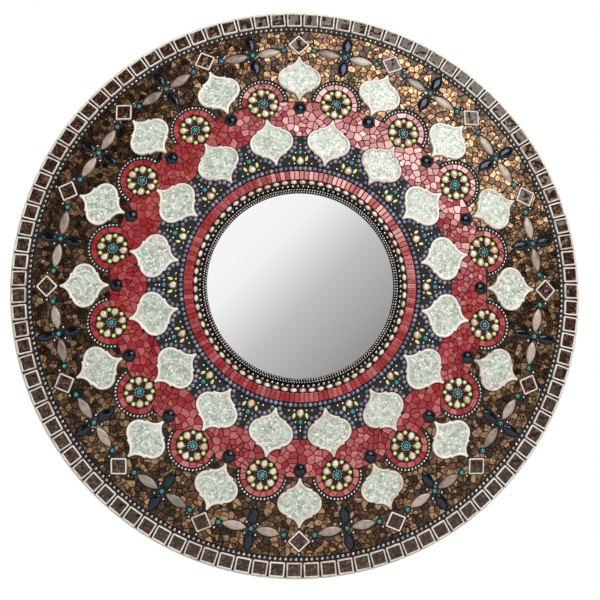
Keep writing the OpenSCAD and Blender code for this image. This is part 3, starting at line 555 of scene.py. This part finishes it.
# The beads go round in a ring, and on round the inner half of each inner lantern
BEAD_OFF, THREAD, LILAC_AT, TIP_FREE, LAST_TURN = 3.4, 6.4, 155.6, 3, radians(20)
along_notch, along_lobe = NOTCH_R - BEAD_OFF, LOBE_R + BEAD_OFF
beads = []
turn = acos((NOTCH_X - LANTERN_L / 2 + BEAD_OFF - TIP_FREE) / along_notch)
while turn > -LAST_TURN:
    beads.append((NOTCH_X - along_notch * cos(turn), NOTCH_Y - along_notch * sin(turn)))
    turn -= 2 * asin(THREAD / 2 / along_notch)
turn, last = pi / 2, beads[-1]
while turn > LAST_TURN:
    place = (along_lobe * cos(turn), LOBE_AT + along_lobe * sin(turn))
    if dist(place, last) > THREAD:
        beads.append(place)
    turn -= 2 * asin(THREAD / 2 / along_lobe)
lilac_spots = [spot(LILAC_AT, a) for a in in_ring(LILAC_AT, THREAD)]
lilac_spots += [beside(INNER_AT, a, -x, s * y, degrees(atan2(y - LOBE_AT, x)) * s)
                for a in FLOWER_AXES for x, y in beads for s in (-1, 1)]
lay("lilac_beads", bead(6.0), lilac_spots, lilac, "lilac_glass", "lilac_ring_beads")


# The square tiles: small cast frames round a pool of dark crackle glass. They stand side by side round
# the rim, and one stands on its corner in the outer field at each repeat. Gunmetal beads edge the rim.
DIAMOND_AT, DIAMOND_SIDE, RIM_R, RIM_SIDE, RIM_PITCH = 330.651, 21.0, 368.0, 20.0, 22.3
GUN_AT, GUN_BEAD, GUN_PITCH = 353.9, 5.2, 6.8
BORDER = ((0, 0), (0, 4.2), (0.45, 4.95), (1.2, 5.0), (1.7, 4.75), (2.0, 3.6))
POOL = ((1.6, 3.95), (2.6, 3.7), (5.5, 3.95))


def square(side, e):
    """A square's outline with cut corners, drawn in by e."""
    h, c = side / 2 - e, max(1.1 - 0.4 * e, 0.25)
    quarter = [(h, -h + c), (h, h - c)]
    return np.array(quarter + [(-y, x) for x, y in quarter] + [(-x, -y) for x, y in quarter]
                    + [(y, -x) for x, y in quarter])


# Brown crackle glass: dark umber with paler fractures 2 to 3 mm apart, and a surface that sags unevenly
brown_crackle, tree, skin, here = new_finish("brown_crackle_glass", "#3a2619", Roughness=0.13)
chips = put(tree, "ShaderNodeTexVoronoi", inputs={"Vector": here, "Scale": 400.0}).outputs
shade = put(tree, "ShaderNodeSeparateColor", inputs={"Color": chips["Color"]}).outputs["Green"]
coloured_by(tree, skin, shade, [(0.0, "#1b100c"), (0.5, "#35211a"), (0.85, "#4f3328"), (1.0, "#7a5647")])
sag = put(tree, "ShaderNodeTexNoise", inputs={"Vector": here, "Scale": 75.0, "Detail": 1.0}).outputs["Fac"]
coloured_by(tree, skin, sag, depth=0.0045)

rim_spots = [spot(RIM_R, a) for a in in_ring(RIM_R, RIM_PITCH)]
diamond_spots = [spot(DIAMOND_AT, a, 45) for a in TILE_AXES]
for row, side, spots in (("rim_tile", RIM_SIDE, rim_spots), ("diamond_tile", DIAMOND_SIDE, diamond_spots)):
    lay(row + "_frames", stacked([(square(side, e), z) for e, z in BORDER], cap=False), spots, ivory,
        "ivory_ceramic", row + "_borders")
    lay(row + "_pools", stacked([(square(side, e), z) for e, z in POOL]), spots, brown_crackle,
        "brown_crackle", row + "_glass")

# Gunmetal lustre: grey beads with a violet-brown bloom, their lower part painted near black as shade
gunmetal, tree, skin, here = new_finish("gunmetal_lustre", "#6b6264", Metallic=0.9, Roughness=0.2)
each = put(tree, "ShaderNodeAttribute", {"attribute_name": "tone"}).outputs["Fac"]
bloom = put(tree, "ShaderNodeValToRGB", inputs={"Fac": each},
            stops=[(0.0, "#a39b9d"), (0.6, "#c3bbbc"), (1.0, "#e2dadb")])
painted_shade_below(tree, skin, bloom, [(0.7, "#2b2525"), (0.92, "#ffffff")])
lay("rim_bead_ring", bead(GUN_BEAD), [spot(GUN_AT, a) for a in in_ring(GUN_AT, GUN_PITCH)], gunmetal,
    "gunmetal", "rim_beads")


# The flowers: six pearl drops in gilt cups point at a turquoise eye in a ring of silver seed beads,
# with a lime glass gem between each two drops. One more drop with two glass leaves lies between
# each pair of inner lanterns. Everything is glued down and then grouted low.
DROP_L, DROP_W, DROP_AT = 13.0, 10.5, 165.45
SEED, SEEDS_AT, GEMS_AT = 2.5, 5.75, 17.29
LEAF_L, LEAF_W, LEAF_T, LEAF_OUT, LEAF_TURN = 9, 4.6, 3, 4, 18


def drop(e):
    """A drop's outline drawn in by e: round end at the origin, point towards -x."""
    r, reach = DROP_W / 2 - e, DROP_L - DROP_W / 2 - 1.9 * e
    touch = pi - acos(r / reach)
    arc = [(r * cos(t), r * sin(t)) for t in np.linspace(-touch, touch, 13)]
    return np.array(arc + [(-reach, 0.0)])


def round_flower(distance, angles, spin=0.0):
    """Spots round the middle of every flower, each piece's x pointing away from it."""
    return [beside(FLOWER_AT, a, *polar(distance, t), t + spin) for a in FLOWER_AXES for t in angles]


# Antique gilt: soft gold plate, mottled darker and lighter
gilt = grained("antique_gilt", "#b08d5b", (300, 3), [(0.3, "#7c5f3a"), (0.7, "#d6b683")], Metallic=1.0,
               Roughness=0.3)[0]

drops = round_flower(FLOWER_R - DROP_W / 2, range(0, 360, 60)) + [spot(DROP_AT, a, 180) for a in TILE_AXES]
cup = [(drop(e), z) for e, z in ((0, 0), (0, 3.4), (0.45, 4.0), (1.0, 4.0), (1.35, 3.0))]
lay("drop_cups", stacked(cup, cap=False), drops, gilt, "gilt_setting", "drop_settings")
stone = [(drop(1.1), 2.9), (drop(1.3), 4.0), (drop(1.3) * 0.8, 4.9), (drop(1.3) * 0.5, 5.3)]
lay("drop_pearls", stacked(stone), drops, pearl, "pearl", "pearl_drops")

# Turquoise glass: green-blue with darker veins about 3 mm apart
turquoise = grained("turquoise_glass", "#2b8a92", (330, 3, 1.5), [(0.3, "#0f4f5a"), (0.5, "#217f88"),
                    (0.7, "#4fb0b2")], Roughness=0.15, Coat_Weight=0.6)[0]
eye = [(0, 0), (3.1, 0), (3.9, 1.1), (4.0, 2.2), (3.4, 3.4), (2.2, 4.0), (1.3, 3.8), (0.9, 3.0), (0, 2.8)]
lay("flower_eye_beads", turned(eye, 14), [spot(FLOWER_AT, a) for a in FLOWER_AXES], turquoise,
    "turquoise_glass", "flower_eyes")
lay("flower_seeds", bead(SEED, 7), round_flower(SEEDS_AT, range(0, 360, 30)), silver, "silver_balls",
    "flower_seed_beads")

# Lime glass: clear yellow-green over a pale back, with painted shading: deeper low down, where it is seen
# through more glass, and paler at the top
lime, tree, skin, here = new_finish("lime_glass", "#a8c23a", Roughness=0.08, Coat_Weight=1.0,
                                    Coat_Roughness=0.03)
crown = put(tree, "ShaderNodeAttribute", {"attribute_name": "crown"}).outputs["Fac"]
own_shade(tree, crown, 0.4, [(0.2, "#86a32a"), (0.6, "#b3cb4e"), (1.0, "#d9e592")], skin["Base Color"])
gem = [(0, 0), (3.0, 0), (3.0, 0.9), (2.6, 2.2), (1.5, 3.0), (0, 3.2)]
lay("lime_gems", turned(gem, 8), round_flower(GEMS_AT, range(30, 360, 60)), lime, "green_glass", "green_gems")


def leaf(length, width, height):
    """A pointed oval with a domed top, its points along x."""
    big = (length ** 2 / 4 + width ** 2 / 4) / width
    xs = np.linspace(length / 2, -length / 2, 9)
    upper = np.column_stack([xs, np.maximum(np.sqrt(big ** 2 - xs ** 2) - (big - width / 2), 0)])
    outline = np.concatenate([upper, (-upper)[1:-1]])
    rows = [(outline, 0), (outline, 0.45 * height)]
    return stacked(rows + [(outline * s, z * height) for s, z in ((0.93, 0.68), (0.72, 0.88), (0.4, 0.97))])


LEAF_SIDE = DROP_W / 2 + 3.15
lay("lime_leaves", leaf(LEAF_L, LEAF_W, LEAF_T), [
    beside(DROP_AT, a, LEAF_OUT, s * LEAF_SIDE, s * LEAF_TURN) for a in TILE_AXES for s in (-1, 1)],
    lime, "green_glass", "green_leaves")


# The outer field's ornaments: crosses of two black and two taupe petals round a turquoise bead,
# black cabochons at the lanterns' tips, and silver beads in arcs and at the corners.
CROSS_AT, PETAL_IN, TAUPE_AT = 319.95, 4.45, 5.85
BLACK_L, BLACK_W, TAUPE_L, TAUPE_W, PETAL_T = 26.0, 12.0, 33.0, 13.0, 4.5
CABOCHON_AT, CABOCHON_R, BUD_AT, SPRAY_AT = 239.552, 7.75, 177.45, 183.5
TURQUOISE_R, SILVER_R = 3.25, 2.0

# Black glass: pressed and fire-polished, its blackness broken only by cool, rippled reflections
black_glass, tree, skin, _ = grained("black_pressed_glass", "#07070a", (160,), [(0.3, "#040406"),
                                     (0.8, "#111216")], 0.0008, Roughness=0.13, IOR=1.8)
skin["Specular Tint"].default_value = linear("#b7c6e2")
lay("black_petal_stones", leaf(BLACK_L, BLACK_W, PETAL_T),
    [spot(CROSS_AT + s * (PETAL_IN + BLACK_L / 2), a) for a in FLOWER_AXES for s in (-1, 1)], black_glass,
    "black_glass", "black_petals")
dome = [(0, 0), (CABOCHON_R, 0), (7.7, 1.0), (6.7, 2.7), (4.6, 4.2), (2.2, 4.85), (0, 5.0)]
lay("cabochon_stones", turned(dome, 20), [spot(CABOCHON_AT, a) for a in TILE_AXES], black_glass,
    "black_glass", "black_cabochons")

# Taupe ceramic: mushroom grey-brown glaze, mottled, with a satin lustre
taupe, tree, skin, cloud = grained("taupe_glazed_ceramic", "#8f7d70", (120, 4), Roughness=0.3,
                                   Coat_Weight=0.6, Coat_Roughness=0.12)
own_shade(tree, cloud, 0.5, [(0.4, "#73645a"), (0.75, "#9c8a7d"), (1.0, "#b9a99b")], skin["Base Color"])
lay("taupe_petal_tiles", leaf(TAUPE_L, TAUPE_W, PETAL_T),
    [beside(CROSS_AT, a, 0, s * (TAUPE_AT + TAUPE_L / 2), 90) for a in FLOWER_AXES for s in (-1, 1)], taupe,
    "taupe_ceramic", "taupe_petals")

TAUPE_TIP = TAUPE_AT + TAUPE_L + 1 + TURQUOISE_R
lay("turquoise_round_beads", bead(2 * TURQUOISE_R, 10),
    [spot(CROSS_AT, a) for a in FLOWER_AXES] + [spot(BUD_AT, a) for a in TILE_AXES]
    + [beside(CROSS_AT, a, 0, s * TAUPE_TIP) for a in FLOWER_AXES for s in (-1, 1)], turquoise,
    "turquoise_glass", "turquoise_beads")

# Silver beads: in the arcs, between the crosses' petals, at the diamonds' corners and round the sprays
ARC_R, ARC_STEP = 31.0, 8.8
BETWEEN_AT, BETWEEN = 10.2, (45, 135, 225, 315)
TIP_BEAD, SIDE_BEAD, SPRAY_PITCH, BUD_BEAD = 17.3, 17.75, 4.8, 6.25
DROP_BACK, DROP_BEADS = -3.25, (7.85, 14.9)
silver_spots = [beside(FLOWER_AT, a, *polar(ARC_R, i * ARC_STEP), i * ARC_STEP)
                for a in FLOWER_AXES for i in range(-10, 11)]
silver_spots += [beside(CROSS_AT, a, *polar(BETWEEN_AT, t)) for a in FLOWER_AXES for t in BETWEEN]
for a in TILE_AXES:
    silver_spots += [spot(r, a) for r in (DIAMOND_AT + TIP_BEAD, SPRAY_AT, SPRAY_AT + SPRAY_PITCH)]
    for s in (-1, 1):
        silver_spots += [beside(DIAMOND_AT, a, 0, s * SIDE_BEAD)]
        silver_spots += [beside(DROP_AT, a, DROP_BACK, s * side) for side in DROP_BEADS]
        silver_spots += [beside(BUD_AT, a, 0, s * BUD_BEAD)]
lay("silver_round_beads", bead(2 * SILVER_R), silver_spots, silver, "silver_balls", "silver_beads")


# The glass fields: sheet glass nipped into irregular pieces and fitted together round the ornaments,
# red round the flowers and brown lustre glass beyond the bead arcs, with narrow grouted joints.
RED_FIELD_IN, FIELD_SPLIT, FIELD_OUT = 200.1, 248.1, 350.4
JOINT, GAP, SHARD_T = 0.7, 0.9, 4.0
ARC_IN, ARC_OUT = ARC_R - SILVER_R - GAP, ARC_R + SILVER_R + GAP
# Points thrown at the field, how many sizes a point may lie from its seed before it gets its own, how far
# off an ornament's edge still cuts a piece, and by how many neighbours it is cut
THROWN, BARE, REACH, NEIGHBOURS = 90000, 0.95, 16, 16
SHORT_SIDE, SMALL_AREA, TILT, BEVEL = 0.9, 5, 0.04, 0.45


def on_axis(outline, r, a):
    """An outline on the dome at radius r and angle a, seen in plan."""
    x = r + outline[:, 0] * cos(asin(r / DOME))
    turn = radians(a)
    return np.column_stack([x * cos(turn) - outline[:, 1] * sin(turn),
                            x * sin(turn) + outline[:, 1] * cos(turn)])


def round_outline(r, n=40):
    return polar(np.full(n, float(r)), np.arange(n) * 360 / n)


def pointed(length, width):
    """A petal's outline drawn out by the joint."""
    return leaf(length + 2 * GAP, width + 2 * GAP, 1)[0][:16, :2]


def dense(outline, pitch=1.2):
    """Points along a closed anticlockwise outline and the way out from each."""
    points, ways = [], []
    for a, b in zip(outline, np.roll(outline, -1, 0)):
        long = hypot(*(b - a))
        n = max(1, int(long / pitch))
        points += [a + (b - a) * (i + 0.5) / n for i in range(n)]
        ways += [np.array([b[1] - a[1], a[0] - b[0]]) / max(long, 1e-9)] * n
    return np.array(points), np.array(ways)


# Each ornament in one repeat: its outline with the joint, its radius, and half steps from a tile axis
diamond = np.array([(1, 0), (0, 1), (-1, 0), (0, -1)]) * (DIAMOND_SIDE / sqrt(2) + 1.4 * GAP)
ball, turquoise_bead = round_outline(SILVER_R + GAP, 16), round_outline(TURQUOISE_R + GAP, 20)
ornaments = [(lantern(-GAP), OUTER_AT, 0), (round_outline(CABOCHON_R + GAP), CABOCHON_AT, 0),
             (diamond, DIAMOND_AT, 0), (ball, DIAMOND_AT + TIP_BEAD, 0),
             (ball + (0, SIDE_BEAD), DIAMOND_AT, 0), (ball - (0, SIDE_BEAD), DIAMOND_AT, 0),
             (lantern(-GAP), INNER_AT, 1), (round_outline(FLOWER_R + GAP), FLOWER_AT, 1),
             (turquoise_bead, CROSS_AT, 1)]
ornaments += [(pointed(BLACK_L, BLACK_W) + (s * (PETAL_IN + BLACK_L / 2), 0), CROSS_AT, 1) for s in (-1, 1)]
ornaments += [(pointed(TAUPE_L, TAUPE_W)[:, ::-1] * (-1, 1) + (0, s * (TAUPE_AT + TAUPE_L / 2)), CROSS_AT, 1)
              for s in (-1, 1)]
ornaments += [(turquoise_bead + (0, s * TAUPE_TIP), CROSS_AT, 1) for s in (-1, 1)]
ornaments += [(ball + polar(BETWEEN_AT, t), CROSS_AT, 1) for t in BETWEEN]


def within(points, outline):
    """Which points lie inside a closed outline."""
    a, b = outline, np.roll(outline, -1, 0)
    x, y = points[:, :1], points[:, 1:]
    cross = (a[:, 1] > y) != (b[:, 1] > y)
    left = x < (b[:, 0] - a[:, 0]) * (y - a[:, 1]) / (b[:, 1] - a[:, 1] + 1e-12) + a[:, 0]
    return (cross & left).sum(1) % 2 == 1


def folded(points):
    """Points turned and mirrored into the half repeat between x and the next flower's axis."""
    a = np.degrees(np.arctan2(points[:, 1], points[:, 0])) - 90
    return polar(np.hypot(points[:, 0], points[:, 1]), np.abs(a - STEP * np.round(a / STEP)))


def free(points):
    """Which points of the field no ornament covers."""
    near = folded(points)
    covered = np.zeros(len(points), bool)
    for outline, r, half in ornaments:
        covered |= within(near, on_axis(outline, r, half * STEP / 2))
    return ~covered


def from_flower(points):
    return np.hypot(*(folded(points) - polar(FLOWER_AT, STEP / 2)).T)


def in_red(points):
    r = np.hypot(points[:, 0], points[:, 1])
    return (r > RED_FIELD_IN) & ((r < FIELD_SPLIT) | (from_flower(points) < ARC_IN))


def in_brown(points):
    r = np.hypot(points[:, 0], points[:, 1])
    return (r < FIELD_OUT) & (r > FIELD_SPLIT) & (from_flower(points) > ARC_OUT)


def sides(poly):
    """The sides of a closed polygon, each from corner to corner."""
    return list(zip(poly, poly[1:] + poly[:1]))


def cut(poly, p, way):
    """The part of a convex polygon on the way side of a line through p."""
    kept = []
    for a, b in sides(poly):
        da = (a[0] - p[0]) * way[0] + (a[1] - p[1]) * way[1]
        db = (b[0] - p[0]) * way[0] + (b[1] - p[1]) * way[1]
        if da >= 0:
            kept.append(a)
        if (da < 0) != (db < 0):
            t = da / (da - db)
            kept.append((a[0] + (b[0] - a[0]) * t, a[1] + (b[1] - a[1]) * t))
    return kept


def area(poly):
    return sum(a[0] * b[1] - b[0] * a[1] for a, b in sides(poly)) / 2


def tree_of(points):
    tree = kdtree.KDTree(len(points))
    for i, p in enumerate(points):
        tree.insert((p[0], p[1], 0), i)
    tree.balance()
    return tree


def glass_field(name, inside, walls, size, evenness, material, slot, instead_of, seed):
    """Nips a field into fitted pieces about size across, cut back from ornaments and walls."""
    rng = np.random.default_rng(seed)
    far = np.sqrt(rng.uniform(RED_FIELD_IN ** 2, FIELD_OUT ** 2, THROWN))
    cloud = polar(far, rng.uniform(0, 360, THROWN))
    cloud = cloud[inside(cloud)]
    cloud = cloud[free(cloud)]
    share = pi * (FIELD_OUT ** 2 - RED_FIELD_IN ** 2) / THROWN
    seeds = cloud[rng.choice(len(cloud), int(len(cloud) * share / size ** 2), replace=False)]
    for _ in range(evenness):
        near = tree_of(seeds)
        mine = np.array([near.find((p[0], p[1], 0))[1] for p in cloud])
        for i in range(len(seeds)):
            if (mine == i).any():
                seeds[i] = seeds[i] * 0.25 + cloud[mine == i].mean(0) * 0.75
    seeds = list(seeds[inside(seeds) & free(seeds)])
    near = tree_of(seeds)
    bare = [p for p in cloud if near.find((p[0], p[1], 0))[2] > BARE * size]
    while bare:
        seeds.append(bare[0])
        bare = [p for p in bare if dist(p, seeds[-1]) > BARE * size]
    edges = [dense(on_axis(outline, r, a + half * STEP / 2)) for outline, r, half in ornaments
             for a in TILE_AXES] + walls
    rim, ways = np.concatenate([e[0] for e in edges]), np.concatenate([e[1] for e in edges])
    rim_tree, near = tree_of(rim), tree_of(seeds)
    points, faces, tones = [], [], []
    for i, s in enumerate(seeds):
        poly = [(s[0] + x, s[1] + y) for x, y in ((-20, -20), (20, -20), (20, 20), (-20, 20))]
        for other, j, gap in near.find_n((s[0], s[1], 0), NEIGHBOURS):
            if j != i and gap > 0.1:
                way = ((s[0] - other[0]) / gap, (s[1] - other[1]) / gap)
                middle = [(s[axis] + other[axis]) / 2 + way[axis] * JOINT / 2 for axis in (0, 1)]
                poly = cut(poly, middle, way)
        for p, j, gap in sorted(rim_tree.find_range((s[0], s[1], 0), REACH), key=lambda found: found[2]):
            way = ways[j]
            if (s[0] - p[0]) * way[0] + (s[1] - p[1]) * way[1] <= 0:
                continue
            depths = [((b[0] - a[0]) * (p[1] - a[1]) - (b[1] - a[1]) * (p[0] - a[0])) / dist(a, b)
                      for a, b in sides(poly) if dist(a, b) > 0.05]
            if depths and min(depths) > 0.04:
                poly = cut(poly, p, way)
        poly = [a for a, b in sides(poly) if hypot(a[0] - b[0], a[1] - b[1]) > SHORT_SIDE]
        if len(poly) < 3:
            continue
        flat = np.array(poly)
        middle = flat.mean(0)
        # A corner that still lies over an ornament is ground back towards the middle, a little at a time
        for _ in range(6):
            corners = middle + (flat - middle) * 0.96
            over = ~(inside(corners) & free(corners))
            if not over.any():
                break
            flat[over] = middle + (flat[over] - middle) * 0.85
        if area(flat.tolist()) < SMALL_AREA:
            continue
        tilt = rng.normal(0, TILT, 2)
        top = SHARD_T - 0.25 + rng.uniform(-0.25, 0.25)
        n = len(flat)
        shrink = 1 - BEVEL / np.maximum(np.hypot(*(flat - middle).T), 2)
        eased = middle + (flat - middle) * shrink[:, None]
        start = len(points)
        for row, z in ((flat, 0), (flat, top - BEVEL), (eased, top)):
            points += [(p[0], p[1], z + (np.dot(p - middle, tilt) if z else 0)) for p in row]
        faces += rings_of_faces(3, n, start) + [tuple(range(start + 2 * n, start + 3 * n))]
        tones += [rng.uniform()] * (3 * n)
    points = np.array(points)
    piece = mesh_piece(name, stand_on(points[:, :2], points[:, 2]), faces, material, False, tones)
    belongs(piece, slot, instead_of)


def wall(points, towards):
    """A boundary of the field: its points and the way back into the field."""
    way = towards - points
    return points, way / np.hypot(*way.T)[:, None]


turns = np.arange(0, 360, 0.25)
split = polar(np.full(len(turns), FIELD_SPLIT), turns)
below = split[from_flower(split) > ARC_IN]
above = split[from_flower(split) > ARC_R + SILVER_R]
inmost = polar(np.full(len(turns), RED_FIELD_IN), turns)
outmost = polar(np.full(len(turns), FIELD_OUT), turns)
red_walls = [wall(below * (1 - JOINT / 2 / FIELD_SPLIT), 0 * below), wall(inmost, 2 * inmost)]
brown_walls = [wall(above * (1 + JOINT / 2 / FIELD_SPLIT), 2 * above), wall(outmost, 0 * outmost)]
half_round = np.linspace(-95, 95, 80)
for a in FLOWER_AXES:
    heart = polar(FLOWER_AT, a)
    inner, outer = (on_axis(polar(np.full(80, r), half_round), FLOWER_AT, a) for r in (ARC_IN, ARC_OUT))
    red_walls.append(wall(inner, heart))
    brown_walls.append(wall(outer, 2 * outer - heart))

glass_field("red_field_glass", in_red, red_walls, 8.2, 2, red_glass, "red_glass", "red_field_tesserae", 5)

# Brown lustre glass: umber sheet under a gold-bronze bloom, from near black to tan, its face rippled
lustre, tree, skin, streak = grained("brown_lustre_glass", "#5d432f", (150, 4, 1.5), depth=0.0008,
                                     Metallic=0.8, Roughness=0.22, Coat_Weight=0.25, Coat_Roughness=0.05)
own_shade(tree, streak, 0.55, [(0.35, "#1e1410"), (0.55, "#38271d"), (0.75, "#5d432f"), (0.9, "#866345"),
                               (1.0, "#b8936e")], skin["Base Color"])
glass_field("brown_field_glass", in_brown, brown_walls, 7.4, 0, lustre, "amber_glass",
            "brown_field_tesserae", 8)


# The room: a pale floor under the hung mirror, a white surround, soft light from the front and a
# large soft window at the upper right. The camera stands a little low and to the left and looks at the
# middle, as the photograph's inner rings show, which lie up and to the right of its outline.
scene = bpy.context.scene
floor = mesh_piece("floor", [(x, y, -0.8) for x, y in ((-4, -5), (4, -5), (4, 3), (-4, 3))], [(0, 1, 2, 3)],
                   new_finish("pale_floor", "#e9e8e6", Roughness=0.9)[0])

# Glossy pieces see a graded wall: its bright patch lies along the slope from upper left to lower right,
# and it fades towards the lower left. All else is lit evenly, and the camera sees white.

room = bpy.data.worlds.new("studio")
scene.world = room
room.use_nodes = True
tree = room.node_tree
tree.nodes.clear()
way = put(tree, "ShaderNodeTexCoord").outputs["Generated"]
parts = put(tree, "ShaderNodeSeparateXYZ", inputs={"Vector": way}).outputs
ahead = put(tree, "ShaderNodeMath", {"operation": "ABSOLUTE"}, {0: parts["Y"]}).outputs[0]
ahead = put(tree, "ShaderNodeMath", {"operation": "MAXIMUM"}, {0: ahead, 1: 0.15}).outputs[0]
diagonals = [put(tree, "ShaderNodeMath", {"operation": kind}, {0: parts["X"], 1: parts["Z"]}).outputs[0]
             for kind in ("SUBTRACT", "ADD")]
slope, rise = [put(tree, "ShaderNodeMath", {"operation": "DIVIDE"}, {0: diagonal, 1: ahead}).outputs[0]
               for diagonal in diagonals]
fade = put(tree, "ShaderNodeMapRange",
           inputs={"Value": rise, "From Min": -0.3, "From Max": 0.06, "To Min": 0.12}).outputs[0]
along = put(tree, "ShaderNodeMapRange",
            inputs={"Value": slope, "From Min": -0.415, "From Max": 0.305}).outputs[0]
shown = put(tree, "ShaderNodeValToRGB", inputs={"Fac": along},
            stops=[(0.0, "#505054"), (0.26, "#8a8a8c"), (0.34, "#ffffff"), (0.44, "#f6f6f6"),
                   (0.52, "#c6c5c6"), (0.667, "#838182"), (0.8, "#565455"),
                   (1.0, "#4c4c4e")]).outputs["Color"]
rays = put(tree, "ShaderNodeLightPath").outputs
glossy = put(tree, "ShaderNodeMath", {"operation": "MAXIMUM"},
             {0: rays["Is Glossy Ray"], 1: rays["Is Transmission Ray"]}).outputs[0]
soft = put(tree, "ShaderNodeBackground", inputs={"Color": linear("#f2f4f6"), "Strength": 0.66}).outputs[0]
shine = put(tree, "ShaderNodeBackground", inputs={"Color": shown, "Strength": fade}).outputs[0]
white = put(tree, "ShaderNodeBackground", inputs={"Color": linear("#ffffff")}).outputs[0]
seen = put(tree, "ShaderNodeMixShader", inputs={0: glossy, 1: soft, 2: shine}).outputs[0]
seen = put(tree, "ShaderNodeMixShader", inputs={0: rays["Is Camera Ray"], 1: seen, 2: white}).outputs[0]
put(tree, "ShaderNodeOutputWorld", inputs={"Surface": seen})


def soft_light(name, at, size, power, colour):
    lamp = bpy.data.lights.new(name, "AREA")
    lamp.shape = "DISK"
    lamp.size = size
    lamp.energy = power
    lamp.color = linear(colour)[:3]
    holder = bpy.data.objects.new(name, lamp)
    holder.location = at
    holder.rotation_euler = (-Vector(at)).to_track_quat("-Z", "Y").to_euler()
    scene.collection.objects.link(holder)


soft_light("window", (1.2, -2.62, 2.05), 2.9, 80, "#fffdf8")
soft_light("side_fill", (-2.4, -1.5, 0.3), 1.6, 7, "#f8fbff")

DISTANCE, LEFT, BELOW, LENS = 1.95, radians(3.87), radians(6.87), 87.73
MIDDLE = Vector((0, -0.035, 0))
viewer = bpy.data.objects.new("viewer", bpy.data.cameras.new("viewer"))
scene.collection.objects.link(viewer)
scene.camera = viewer
outward = Vector((-sin(LEFT) * cos(BELOW), -cos(LEFT) * cos(BELOW), -sin(BELOW)))
viewer.location = MIDDLE + outward * DISTANCE
viewer.rotation_euler = (-outward).to_track_quat("-Z", "Y").to_euler()
viewer.data.lens = LENS
viewer.data.shift_x, viewer.data.shift_y = 0.0027, -0.018
scene.view_settings.view_transform = "Standard"
